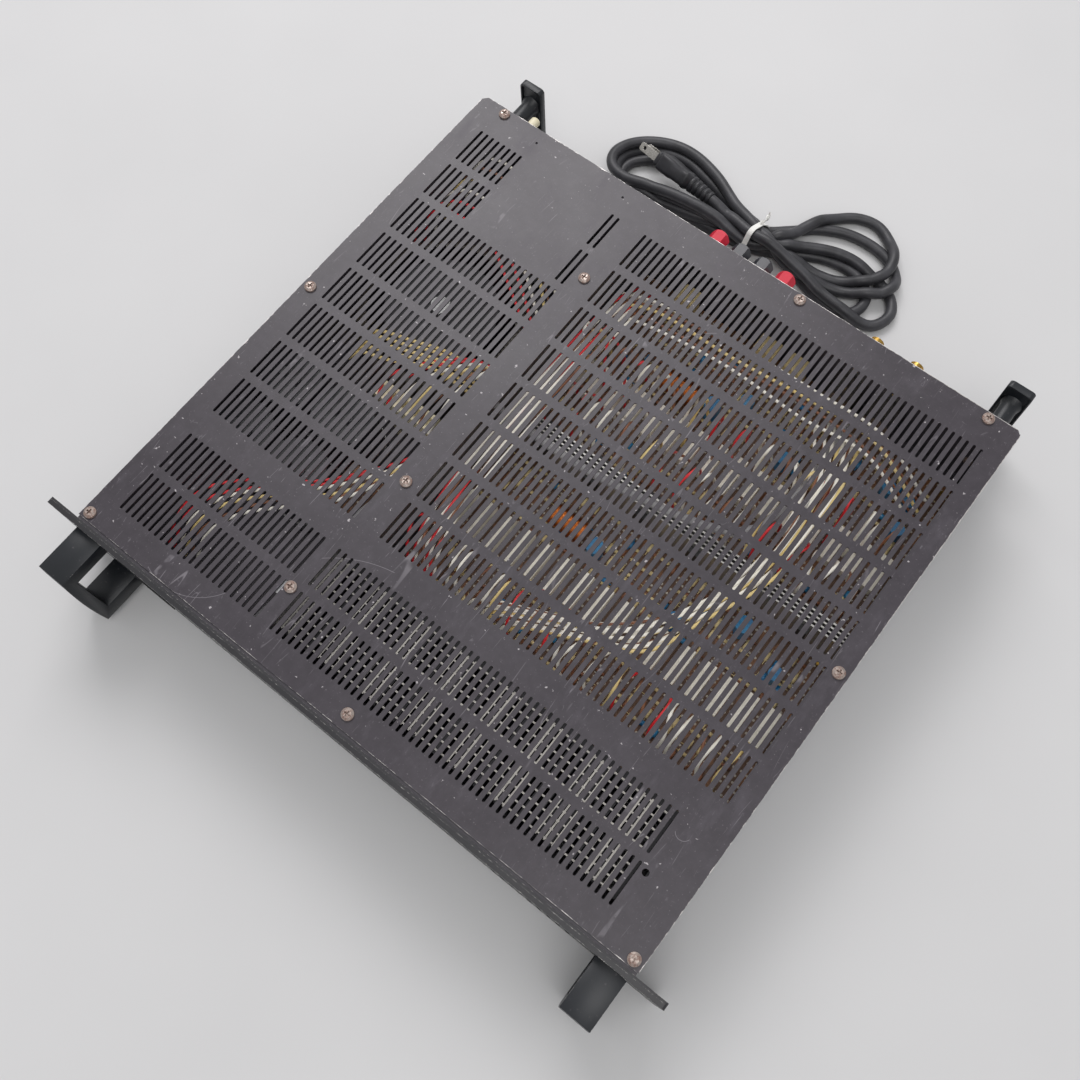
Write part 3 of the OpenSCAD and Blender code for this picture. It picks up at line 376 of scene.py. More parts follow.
def make_materials():
    cover_enamel()
    rusty_screw()
    phenolic_board()
    cord_sheath()
    wound_tape()
    # Plain painted studio floor.
    coated("floor", ("#d2d2d2", "#cecece"), 2.0, (0.6, 0.75), 0.0, patch_mm=400.0)
    # Black stove enamel on the dress panel, rubbed to bright metal along its edges.
    lo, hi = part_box("front_panel")
    coated("panel_enamel", ("#1f1f22", "#262528"), 0.5, (0.32, 0.42), 0.02, box=(lo, hi), worn="#c8c6c2",
           worn_mm=1.0, worn_share=(0.5, 0.62))
    lo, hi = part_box("sub_panel")
    coated("inner_panel_enamel", ("#242327", "#2b2a2d"), 0.5, (0.4, 0.5), 0.02, box=(lo, hi),
           worn="#bdbab5", worn_mm=0.9, worn_share=(0.5, 0.62))
    # Charcoal enamel on the tray, rear panel and input plate.
    lo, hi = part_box("chassis_tray")
    coated("chassis_enamel", ("#3f3c42", "#48444a"), 0.6, (0.42, 0.55), 0.02, box=(lo, hi), worn="#a8a4a2",
           worn_mm=1.2, worn_share=(0.55, 0.66))
    # Die-cast handles and stands with semi-gloss black enamel, chipped at the corners.
    for name, node in (("handle_enamel_left", "handle_left"), ("handle_enamel_right", "handle_right"),
                       ("stand_enamel_left", "rear_stand_left"),
                       ("stand_enamel_right", "rear_stand_right")):
        lo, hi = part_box(node)
        coated(name, ("#14181c", "#1d2025"), 0.7, (0.34, 0.46), 0.03, box=(lo, hi), worn="#b9b7b4",
               worn_mm=1.3,
               worn_share=(0.5, 0.6), specks="#4c4a4d", speck_mm=3.0, speck_share=(0.64, 0.7))
    # Zinc-plated sheet: grey, cloudy and lightly spangled.
    coated("zinc_plate", ("#8f9092", "#a7a7a6"), 1.5, (0.35, 0.5), 0.01, metallic=0.9, patch_mm=12.0)
    # Drawn steel wire, bright but dulled.
    coated("drawn_wire", ("#a9a6a1", "#bdbab5"), 1.0, (0.4, 0.55), 0.01, metallic=0.5, patch_mm=6.0)
    # Mill-finish and black anodised extruded aluminium.
    coated("mill_aluminium", ("#b4b3b0", "#c6c5c2"), 0.8, (0.32, 0.45), 0.01, metallic=0.95, patch_mm=20.0)
    coated("black_anodised", ("#19191c", "#232327"), 0.6, (0.4, 0.55), 0.01, metallic=0.4, patch_mm=25.0)
    # Brass, lacquer gone brown in patches.
    coated("old_brass", ("#8f7134", "#c9a65a"), 0.7, (0.25, 0.45), 0.02, metallic=1.0, patch_mm=3.0)
    # Bright nickel plate on the plug's blades.
    coated("nickel_plate", ("#b9b6af", "#cfccc5"), 0.6, (0.2, 0.34), 0.01, metallic=1.0, patch_mm=8.0)
    # Moulded rubber and plastics: even colour, soft gloss and a very fine grain.
    coated("black_rubber", ("#1a1a1a", "#232323"), 0.8, (0.7, 0.85), 0.05)
    coated("black_abs", ("#18181a", "#202022"), 0.5, (0.4, 0.52), 0.02)
    coated("red_phenolic", ("#c8102e", "#d81f3d"), 0.6, (0.42, 0.52), 0.02, patch_mm=9.0)
    coated("grey_phenolic", ("#2c2d33", "#36373d"), 0.6, (0.28, 0.4), 0.02, patch_mm=9.0, coat=0.2)
    coated("cream_nylon", ("#ddd3b0", "#e9e1c6"), 0.8, (0.4, 0.5), 0.02, patch_mm=9.0)
    coated("white_nylon", ("#e9e9e4", "#f4f4f0"), 0.8, (0.35, 0.5), 0.03, patch_mm=6.0)
    coated("red_lens", ("#8d0f14", "#a51a1c"), 0.6, (0.15, 0.25), 0.0, patch_mm=6.0, coat=0.4)
    coated("plug_pvc", ("#232326", "#303034"), 0.5, (0.36, 0.5), 0.05, patch_mm=10.0, specks="#4a4a4e",
           speck_mm=2.0)
    coated("heat_shrink_black", ("#16181b", "#212327"), 1.0, (0.3, 0.42), 0.02, patch_mm=30.0)
    # Shrunk sleeve, enamelled copper wire, fired ceramic and varnished paper inside.
    coated("blue_sleeve", ("#1f5f8c", "#2c78a4"), 0.8, (0.25, 0.35), 0.01, patch_mm=10.0)
    coated("enamelled_copper", ("#8f4a1e", "#b86a34"), 0.9, (0.25, 0.35), 0.12, metallic=0.9, patch_mm=4.0)
    coated("cement_ceramic", ("#d9d5c8", "#ebe7dc"), 0.6, (0.6, 0.75), 0.06, patch_mm=8.0)
    coated("fish_paper", ("#b9a678", "#d2c08f"), 0.8, (0.6, 0.7), 0.03, patch_mm=8.0)
    # Extruded PVC on hook-up wire: smooth, with slow changes of shade.
    coated("red_pvc", ("#c4202a", "#dd3038"), 1.0, (0.35, 0.45), 0.0, patch_mm=20.0)
    coated("white_pvc", ("#e6e2d6", "#f2efe6"), 1.0, (0.35, 0.5), 0.0, patch_mm=20.0)
    coated("yellow_pvc", ("#d8bf7a", "#e6d196"), 1.0, (0.35, 0.5), 0.0, patch_mm=20.0)
    coated("brown_pvc", ("#6d4430", "#86583e"), 1.0, (0.35, 0.5), 0.0, patch_mm=20.0)
    coated("grey_pvc", ("#77767a", "#8b8a8c"), 1.0, (0.4, 0.5), 0.0, patch_mm=20.0)


FINISH = {
    "front_panel": "panel_enamel", "sub_panel": "inner_panel_enamel", "chassis_tray": "chassis_enamel",
    "rear_panel": "chassis_enamel", "input_plate": "chassis_enamel", "top_cover": "cover",
    "cover_screws": "screw", "chassis_screws": "screw", "bay_divider": "zinc_plate",
    "feet": "black_rubber", "transformer_winding": "tape", "transformer_clamp": "black_anodised",
    "transformer_bolt": "zinc_plate", "filter_capacitors": "heat_shrink_black",
    "capacitor_clamps": "zinc_plate", "bridge_rectifier": "black_abs", "supply_board": "board",
    "terminal_block": "cream_nylon", "relays": "fish_paper", "front_heatsink": "black_anodised",
    "intake_mesh": "drawn_wire", "output_transistors": "black_abs", "centre_heatsink": "mill_aluminium",
    "channel_board_front": "board", "channel_board_rear": "board", "board_spacers": "old_brass",
    "emitter_resistors": "cement_ceramic", "driver_transistors": "black_abs",
    "board_capacitors": "blue_sleeve", "output_coils": "enamelled_copper", "wiring_loom": "grey_pvc",
    "power_switch": "black_abs", "power_rocker": "red_lens", "level_pots": "zinc_plate",
    "level_shaft_left": "nickel_plate", "level_shaft_right": "nickel_plate", "indicator_lamps": "red_lens",
    "post_bases": "black_abs", "post_insert_1": "old_brass", "post_insert_2": "old_brass",
    "post_insert_3": "old_brass", "post_insert_4": "old_brass", "breaker_body": "black_abs",
    "breaker_button": "cream_nylon", "input_sockets": "nickel_plate",
    "thumbscrew_left": "old_brass", "thumbscrew_right": "old_brass",
}


# ---- shaping helpers --------------------------------------------------------

def dress(node, finish):
    """Puts a finish in every material slot of a CAD node."""
    mesh = NODES[node].data
    if not mesh.materials:
        mesh.materials.append(MATERIALS[finish])
    for i in range(len(mesh.materials)):
        mesh.materials[i] = MATERIALS[finish]


def link(name, mesh, finish, body="chassis", smooth=True):
    """A finished piece at the origin, riding on a body."""
    piece = bpy.data.objects.new(name, mesh)
    SCENE.collection.objects.link(piece)
    if finish:
        mesh.materials.clear()
        mesh.materials.append(MATERIALS[finish])
    if smooth:
        mesh.polygons.foreach_set("use_smooth", [True] * len(mesh.polygons))
    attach(piece, body)
    return piece


def baked(piece):
    """The piece's mesh with its modifiers applied; the piece itself is removed."""
    graph = bpy.context.evaluated_depsgraph_get()
    mesh = bpy.data.meshes.new_from_object(piece.evaluated_get(graph), depsgraph=graph)
    bpy.data.objects.remove(piece)
    return mesh


def softened(node, width_mm, finish, body="chassis", segments=3, angle=28.0, smooth=True):
    """The node's own shape with its sharp edges rounded, standing in its place."""
    mesh = NODES[node].data.copy()
    work = bmesh.new()
    work.from_mesh(mesh)
    bmesh.ops.remove_doubles(work, verts=work.verts, dist=2e-6)
    bmesh.ops.dissolve_limit(work, angle_limit=math.radians(0.5), verts=work.verts, edges=work.edges)
    work.to_mesh(mesh)
    work.free()
    piece = bpy.data.objects.new("work_" + node, mesh)
    SCENE.collection.objects.link(piece)
    round_off = piece.modifiers.new("round", "BEVEL")
    round_off.width = width_mm * MM
    round_off.segments = segments
    round_off.limit_method = "ANGLE"
    round_off.angle_limit = math.radians(angle)
    round_off.harden_normals = True
    done = baked(piece)
    made = link(node + "_shown", done, finish, body, smooth)
    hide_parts(node)
    return made


def loft(sections):
    """A mesh through rings of equal length, its ends capped."""
    verts = [tuple(p) for ring in sections for p in ring]
    n, faces = len(sections[0]), []
    for i in range(len(sections) - 1):
        for k in range(n):
            faces.append((i * n + k, i * n + (k + 1) % n, (i + 1) * n + (k + 1) % n, (i + 1) * n + k))
    faces.append(tuple(range(n - 1, -1, -1)))
    faces.append(tuple((len(sections) - 1) * n + k for k in range(n)))
    mesh = bpy.data.meshes.new("loft")
    mesh.from_pydata(verts, [], faces)
    tidy = bmesh.new()
    tidy.from_mesh(mesh)
    bmesh.ops.recalc_face_normals(tidy, faces=tidy.faces)
    tidy.to_mesh(mesh)
    tidy.free()
    return mesh


def oval(width, height, power, count=40):
    """A ring between an ellipse (power 2) and a rectangle (high power), in two axes."""
    ring = []
    for k in range(count):
        a = 2 * math.pi * k / count
        c, s = math.cos(a), math.sin(a)
        across = math.copysign(abs(c) ** (2 / power), c) * width / 2
        upward = math.copysign(abs(s) ** (2 / power), s) * height / 2
        ring.append((across, upward))
    return ring


def turned(profile, place, direction, count=40):
    """A solid of revolution: profile as (distance along, radius) in mm, from place along direction."""
    along = Vector(direction).normalized()
    side = along.orthogonal().normalized()
    up = along.cross(side)
    rings = []
    for far, radius in profile:
        centre, reach = Vector(place) + along * far * MM, max(radius, 0.01)
        turns = [2 * math.pi * k / count for k in range(count)]
        rings.append([centre + (side * math.cos(a) + up * math.sin(a)) * reach * MM for a in turns])
    return loft(rings)


def ribbed_profile(length, r_start, r_end, rib, gap, depth):
    """A tapered sleeve cut by grooves, for turned()."""
    profile, at = [(0.0, r_start - 0.6), (0.5, r_start)], 0.5
    def radius(s):
        return r_start + (r_end - r_start) * s / length
    while at + rib + gap < length:
        profile += [(at + rib, radius(at + rib)), (at + rib + 0.25, radius(at + rib) - depth),
                    (at + rib + gap - 0.25, radius(at + rib + gap) - depth),
                    (at + rib + gap, radius(at + rib + gap))]
        at += rib + gap
    profile += [(length - 0.4, r_end), (length, r_end - 0.4)]
    return profile


# ---- geometry node trees ----------------------------------------------------

def node_group(name, sizes):
    """An empty geometry tree with named inputs for its sizes and its material."""
    tree = bpy.data.node_groups.new(name, "GeometryNodeTree")
    tree.interface.new_socket("Geometry", in_out="INPUT", socket_type="NodeSocketGeometry")
    for label, kind in sizes:
        tree.interface.new_socket(label, in_out="INPUT", socket_type=kind)
    tree.interface.new_socket("Finish", in_out="INPUT", socket_type="NodeSocketMaterial")
    tree.interface.new_socket("Geometry", in_out="OUTPUT", socket_type="NodeSocketGeometry")
    given = add(tree, "NodeGroupInput").outputs
    return tree, given


def close_group(tree, given, geometry):
    """Makes the copies real, gives them their finish and ends the tree."""
    real = add(tree, "GeometryNodeRealizeInstances", {0: geometry}).outputs[0]
    done = add(tree, "GeometryNodeSetMaterial", {"Geometry": real, "Material": given["Finish"]}).outputs[0]
    add(tree, "NodeGroupOutput", {0: done})
    return tree


def grow(name, data, tree, values, finish, body="chassis", smooth=True):
    """Runs a geometry tree on a mesh or curve and keeps the result as a plain mesh."""
    seed = bpy.data.objects.new("work_" + name, data)
    SCENE.collection.objects.link(seed)
    modifier = seed.modifiers.new("grow", "NODES")
    modifier.node_group = tree
    sockets = {s.name: s.identifier for s in tree.interface.items_tree
               if s.item_type == "SOCKET" and s.in_out == "INPUT"}
    for label, value in values.items():
        modifier[sockets[label]] = value
    modifier[sockets["Finish"]] = MATERIALS[finish]
    return link(name, baked(seed), None, body, smooth)


def wire_tree():
    """Round wire of one thickness along every curve given."""
    tree, given = node_group("wire_along", [("Radius", "NodeSocketFloat"), ("Sides", "NodeSocketInt")])
    ring = add(tree, "GeometryNodeCurvePrimitiveCircle",
               {"Resolution": given["Sides"], "Radius": given["Radius"]}).outputs[0]
    tube = add(tree, "GeometryNodeCurveToMesh",
               {"Curve": given["Geometry"], "Profile Curve": ring, "Fill Caps": True}).outputs[0]
    return close_group(tree, given, tube)


def part_tree():
    """Small leaded parts on a board: points thinned and turned by chance, each with a body and two leads."""
    tree, given = node_group("board_parts", [
        ("Keep", "NodeSocketFloat"), ("Seed", "NodeSocketInt"), ("Length", "NodeSocketFloat"),
        ("Radius", "NodeSocketFloat"), ("Lift", "NodeSocketFloat"), ("Jitter", "NodeSocketFloat")])
    points = add(tree, "GeometryNodeMeshToPoints", {"Mesh": given["Geometry"]}).outputs[0]
    chance = add(tree, "FunctionNodeRandomValue", {"Seed": given["Seed"]}, data_type="FLOAT")
    drop = add(tree, "FunctionNodeCompare", {0: chance.outputs[1], 1: given["Keep"]}, data_type="FLOAT",
               operation="GREATER_THAN").outputs[0]
    kept = add(tree, "GeometryNodeDeleteGeometry", {"Geometry": points, "Selection": drop},
               domain="POINT").outputs[0]
    span = add(tree, "ShaderNodeCombineXYZ", {0: given["Jitter"], 1: given["Jitter"]}).outputs[0]
    back = add(tree, "ShaderNodeVectorMath", {0: span, "Scale": -1.0}, operation="SCALE").outputs[0]
    shift = add(tree, "FunctionNodeRandomValue", {0: back, 1: span, "Seed": given["Seed"]},
                data_type="FLOAT_VECTOR").outputs[0]
    lift = add(tree, "ShaderNodeCombineXYZ", {2: given["Lift"]}).outputs[0]
    offset = add(tree, "ShaderNodeVectorMath", {0: shift, 1: lift}, operation="ADD").outputs[0]
    moved = add(tree, "GeometryNodeSetPosition", {"Geometry": kept, "Offset": offset}).outputs[0]
    can = add(tree, "GeometryNodeMeshCylinder",
              {"Vertices": 10, "Radius": given["Radius"], "Depth": given["Length"]}).outputs[0]
    thin = add(tree, "ShaderNodeMath", {0: given["Radius"], 1: 0.22}, operation="MULTIPLY").outputs[0]
    long = add(tree, "ShaderNodeMath", {0: given["Length"], 1: 1.9}, operation="MULTIPLY").outputs[0]
    leads = add(tree, "GeometryNodeMeshCylinder", {"Vertices": 6, "Radius": thin, "Depth": long}).outputs[0]
    part = add(tree, "GeometryNodeJoinGeometry").inputs[0]
    tree.links.new(can, part)
    tree.links.new(leads, part)
    laid = add(tree, "GeometryNodeTransform",
               {"Geometry": part.node.outputs[0], "Rotation": (math.pi / 2, 0, 0)}).outputs[0]
    quarter = add(tree, "FunctionNodeRandomValue", {4: 0, 5: 1, "Seed": given["Seed"]},
                  data_type="INT").outputs[2]
    turn = add(tree, "ShaderNodeMath", {0: quarter, 1: math.pi / 2}, operation="MULTIPLY").outputs[0]
    angle = add(tree, "ShaderNodeCombineXYZ", {2: turn}).outputs[0]
    placed = add(tree, "GeometryNodeInstanceOnPoints",
                 {"Points": moved, "Instance": laid, "Rotation": angle}).outputs[0]
    return close_group(tree, given, placed)


def winding_tree():
    """Tape turns round a toroid's core: a rounded band at each point of a circle, leaned a little."""
    tree, given = node_group("tape_turns", [
        ("Turns", "NodeSocketInt"), ("Middle", "NodeSocketFloat"), ("Width", "NodeSocketFloat"),
        ("Height", "NodeSocketFloat"), ("Corner", "NodeSocketFloat"), ("Tape", "NodeSocketFloat"),
        ("Thickness", "NodeSocketFloat"), ("Lean", "NodeSocketFloat")])
    frame_curve = add(tree, "GeometryNodeCurvePrimitiveQuadrilateral",
                      {"Width": given["Width"], "Height": given["Height"]}).outputs[0]
    rounded = add(tree, "GeometryNodeFilletCurve",
                  {"Curve": frame_curve, "Radius": given["Corner"], "Count": 5}, mode="POLY").outputs[0]
    strip = add(tree, "GeometryNodeCurvePrimitiveQuadrilateral",
                {"Width": given["Thickness"], "Height": given["Tape"]}).outputs[0]
    band = add(tree, "GeometryNodeCurveToMesh", {"Curve": rounded, "Profile Curve": strip}).outputs[0]
    lean = add(tree, "ShaderNodeCombineXYZ", {0: math.pi / 2, 2: given["Lean"]}).outputs[0]
    out = add(tree, "ShaderNodeCombineXYZ", {0: given["Middle"]}).outputs[0]
    stood = add(tree, "GeometryNodeTransform",
                {"Geometry": band, "Rotation": lean, "Translation": out}).outputs[0]
    line = add(tree, "GeometryNodeMeshLine", {"Count": given["Turns"], "Offset": (0, 0, 0)},
               mode="OFFSET").outputs[0]
    index = add(tree, "GeometryNodeInputIndex").outputs[0]
    full = add(tree, "ShaderNodeMath", {0: 2 * math.pi, 1: given["Turns"]}, operation="DIVIDE").outputs[0]
    angle = add(tree, "ShaderNodeMath", {0: index, 1: full}, operation="MULTIPLY").outputs[0]
    turn = add(tree, "ShaderNodeCombineXYZ", {2: angle}).outputs[0]
    placed = add(tree, "GeometryNodeInstanceOnPoints",
                 {"Points": line, "Instance": stood, "Rotation": turn}).outputs[0]
    spot_at = add(tree, "GeometryNodeInputPosition").outputs[0]
    first = add(tree, "GeometryNodeSampleIndex",
                {"Geometry": given["Geometry"], "Value": spot_at, "Index": 0}, data_type="FLOAT_VECTOR",
                domain="POINT").outputs[0]
    shifted = add(tree, "GeometryNodeTransform", {"Geometry": placed, "Translation": first}).outputs[0]
    return close_group(tree, given, shifted)


# ---- the mains lead ---------------------------------------------------------

# Its route from the exit, as in the CAD, in mm: x, distance behind the cover's front edge, height
ROUTE = [(-118, 429.5, 15), (-117.5, 437.5, 14), (-114, 447.5, 10), (-106, 456.5, 6.2), (-95, 461.5, 4.2)]
# The turns that follow, a list of points and not a formula: x, distance behind, and place in the pile.
# They go right loop, left loop, and so on to the plug.
TURNS = [
    (-80, 464, 0), (-62, 466, 0), (-42, 468, 0), (-19, 471, 0), (0, 479, 0.6), (18, 490, 1), (38, 498, 1),
    (58, 498.5, 1),
    (73, 490, 1), (76.5, 477, 1), (70, 466, 1), (56, 462.5, 1), (38, 467, 1.2), (12, 475, 1.4),
    (-19, 479.5, 1.5),
    (-50, 484, 1.6), (-80, 493, 2), (-104, 497.5, 2), (-124, 492, 2), (-137, 480, 2), (-138, 467, 2),
    (-128, 459, 2),
    (-112, 459, 2.6), (-92, 464, 3), (-65, 468, 3), (-42, 471, 3), (-19, 475.2, 3.2), (-7, 481, 4),
    (1, 492, 5), (7, 508, 5.5),
    (16, 527, 5.5), (30, 541, 5.5), (47, 545.5, 5.5), (62, 539, 5.5), (73, 526, 5.5), (76.5, 511, 5.5),
    (70, 497, 5), (56, 488, 4.2),
    (38, 482, 3.6), (10, 479, 3.4), (-19, 483.5, 3.5), (-50, 491, 3.8), (-80, 501, 4), (-106, 505, 4),
    (-129, 499, 4),
    (-143, 485, 4), (-144, 469, 4), (-133, 458, 3.6), (-115, 456, 3), (-92, 460, 2.8), (-65, 466, 2.6),
    (-42, 475, 2.2),
    (-19, 488, 2), (-2, 502, 2.4), (14, 516, 3), (34, 525.5, 3.5), (56, 527.5, 4), (75, 522, 4),
    (86, 509, 4.4), (84, 495, 6),
    (71, 485, 7), (51, 477, 7.5), (30, 471.5, 7.8), (9, 471.5, 7.8), (-19, 478.5, 7.8), (-45, 488, 7.4),
    (-73, 503, 7),
    (-98, 509.5, 7), (-122, 507, 7), (-141, 494, 7), (-149, 475, 6), (-143, 461, 5), (-127, 456, 4.6),
    (-106, 460, 4.4),
    (-80, 464, 4.2), (-50, 467, 4.2), (-19, 467.5, 4.1), (0, 480, 4), (22, 495, 4), (44, 504, 4.2),
    (66, 505, 4.2), (87, 499, 4.2),
    (97, 486, 4.2), (93, 471, 5), (80, 464.5, 6), (62, 464, 7), (40, 466.5, 8), (15, 469.5, 8),
    (-4, 470, 8), (-19, 470.8, 8.2),
    (-34, 473.5, 8.4), (-48, 476.2, 8.4), (-62, 478, 8.4),
]
PLUG_Z = 20.8
# Where the strap is drawn round the bundle, and half the bundle strand it takes in, in mm
TIE_X = -19.0
STRAND_R = 4.9
STRAP_T = 0.9
STRAP_HALF = 2.0
TIE_FLOOR = 1.2


def smooth_path(points, step, plane=3):
    """Points about step apart in plan on a smooth curve through the ones given."""
    p = np.array(points, float)
    ext = np.vstack([2 * p[0] - p[1], p, 2 * p[-1] - p[-2]])
    out = []
    for i in range(1, len(ext) - 2):
        a, b, c, d = ext[i - 1:i + 3]
        for u in np.linspace(0, 1, 24, endpoint=False):
            bow, twist = 2 * a - 5 * b + 4 * c - d, 3 * b - a - 3 * c + d
            out.append(0.5 * (2 * b + (c - a) * u + bow * u * u + twist * u ** 3))
    out = np.array(out + [p[-1]])
    along = np.concatenate([[0], np.cumsum(np.linalg.norm(np.diff(out[:, :plane], axis=0), axis=1))])
    at = np.linspace(0, along[-1], int(along[-1] / step) + 1)
    return np.stack([np.interp(at, along, out[:, k]) for k in range(out.shape[1])], axis=1)


def ease(values, reach):
    """The values averaged over about reach points each way."""
    kernel = np.exp(-0.5 * (np.arange(-3 * reach, 3 * reach + 1) / reach) ** 2)
    kernel /= kernel.sum()
    padded = np.concatenate([np.full(3 * reach, values[0]), values, np.full(3 * reach, values[-1])])
    return np.convolve(padded, kernel, "valid")


def lay_cord(step=2.5, gap=8.3, rounds=260):
    """The lead's centreline in mm: it settles on the floor and on the turns that lie under it."""
    plan = smooth_path([(x, y, 0) for x, y, z in ROUTE] + TURNS, step, 2)
    rank, plan = plan[:, 2], plan[:, :2]
    along = np.arange(len(plan)) * step
    flat = CORD_D / MM / 2
    route_at = np.cumsum([0.0] + [math.dist(a[:2], b[:2]) for a, b in zip(ROUTE, ROUTE[1:])])
    base = np.maximum(np.interp(along, route_at, [z for x, y, z in ROUTE]), flat)
    rise = np.clip((along - along[-1] + 60.0) / 60.0, 0, 1)
    base = np.maximum(base, flat + (PLUG_Z - flat) * rise * rise * (3 - 2 * rise))
    apart = np.linalg.norm(plan[:, None] - plan[None], axis=2)
    near = (apart < gap) & (rank[:, None] > rank[None]) & (np.abs(along[:, None] - along[None]) > 30.0)
    upper, lower = np.nonzero(near)
    need = np.sqrt(gap ** 2 - apart[upper, lower] ** 2)
    z = base + 2.2 * rank
    for _ in range(rounds):
        z = ease(z - 0.35, 2)
        push = 0.5 * np.maximum(need - (z[upper] - z[lower]), 0)
        up, down = np.zeros_like(z), np.zeros_like(z)
        np.maximum.at(up, upper, push)
        np.maximum.at(down, lower, push)
        z = np.maximum(z + up - down, base)
        z[-8:] = base[-8:]
        z[:4] = base[:4]
    return np.column_stack([plan, np.maximum(ease(z, 1), flat)])


def make_cord():
    """The lead as one round curve, from the gland to the plug."""
    line = lay_cord()
    pts = [spot(*p) for p in line]
    data = bpy.data.curves.new("mains_lead", "CURVE")
    data.dimensions = "3D"
    data.bevel_depth = CORD_D / 2
    data.bevel_resolution = 4
    data.use_fill_caps = True
    spline = data.splines.new("POLY")
    spline.points.add(len(pts) - 1)
    for point, p in zip(spline.points, pts):
        point.co = (*p, 1.0)
    spline.use_smooth = True
    lead = bpy.data.objects.new("mains_lead", data)
    SCENE.collection.objects.link(lead)
    data.materials.append(MATERIALS["cord"])
    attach(lead, "chassis")
    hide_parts("cord_run", "cord_hank")
    return lead, line


def make_plug():
    """The moulded body, its grooved sleeve and two blades, leaned about the lead and turned a little."""
    entry = spot(*TURNS[-1][:2], PLUG_Z)
    lean = Matrix.Rotation(math.radians(-7.5), 3, "Z") @ Matrix.Rotation(math.radians(40), 3, "X")

    def ring(back, width, height, power):
        return [entry + lean @ Vector((-back * MM, w * MM, h * MM)) for w, h in oval(width, height, power)]
    body = loft([
        ring(53, 9, 17, 4), ring(52.6, 11.4, 19.6, 5), ring(51.6, 12.2, 20.4, 6), ring(50.4, 12.2, 20.4, 6),
        ring(50.0, 11.2, 19.4, 6), ring(49.2, 11.2, 19.4, 6), ring(48.6, 13.4, 21.4, 6),
        ring(47.4, 14, 22, 6),
        ring(37, 13.8, 21.6, 5), ring(34, 12.6, 19.6, 5), ring(29, 12.2, 18.0, 4.5),
        ring(26, 12.4, 17.0, 4),
        ring(25.2, 13.4, 17.8, 4), ring(23.4, 13.4, 17.2, 4), ring(22.6, 12.2, 15, 3.4),
        ring(20.2, 11.4, 12.6, 2.6),
        ring(19.6, 8, 9, 2.2)])
    shell = link("plug_body", body, "plug_pvc")
    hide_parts("mains_plug")
    sleeve_len = 20.4
    sleeve_foot = entry + lean @ Vector((-sleeve_len * MM, 0, 0))
    sleeve = turned(ribbed_profile(sleeve_len, 6.6, 5.0, 2.8, 1.5, 1.1), sleeve_foot,
                    lean @ Vector((1, 0, 0)))
    grip = link("plug_relief", sleeve, "plug_pvc")
    outline = [(-17.0, -2.0), (-15.9, -3.1), (0.5, -3.1), (0.5, 3.1), (-15.9, 3.1), (-17.0, 2.0)]
    hole = [(-12.9 + 1.6 * math.cos(a), 1.6 * math.sin(a)) for a in np.linspace(0, 2 * math.pi, 24,
                                                                                endpoint=False)]
    data = bpy.data.curves.new("blade", "CURVE")
    data.dimensions = "2D"
    data.fill_mode = "BOTH"
    data.extrude = 0.6 * MM
    data.bevel_depth = 0.15 * MM
    for loop in (outline, hole):
        spline = data.splines.new("POLY")
        spline.points.add(len(loop) - 1)
        spline.use_cyclic_u = True
        for point, (x, y) in zip(spline.points, loop):
            point.co = (x * MM, y * MM, 0, 1)
    holder = bpy.data.objects.new("work_blade", data)
    SCENE.collection.objects.link(holder)
    one = baked(holder)
    blade_apart = 12.7
    both = bmesh.new()
    for side in (-1, 1):
        part = one.copy()
        seat = Matrix.Translation((-53 * MM, 0, side * blade_apart / 2 * MM))
        part.transform(Matrix.Translation(entry) @ lean.to_4x4() @ seat)
        both.from_mesh(part)
    mesh = bpy.data.meshes.new("blades")
    both.to_mesh(mesh)
    both.free()
    return [shell, grip, link("plug_blades", mesh, "nickel_plate", smooth=False)]


def hull_2d(points):
    """The convex outline of points in a plane."""
    points = sorted(set(points))

    def bend(a, b, p):
        return (b[0] - a[0]) * (p[1] - a[1]) - (b[1] - a[1]) * (p[0] - a[0])

    def half(seq):
        out = []
        for p in seq:
            while len(out) > 1 and bend(out[-2], out[-1], p) <= 0:
                out.pop()
            out.append(p)
        return out
    return half(points)[:-1] + half(reversed(points))[:-1]


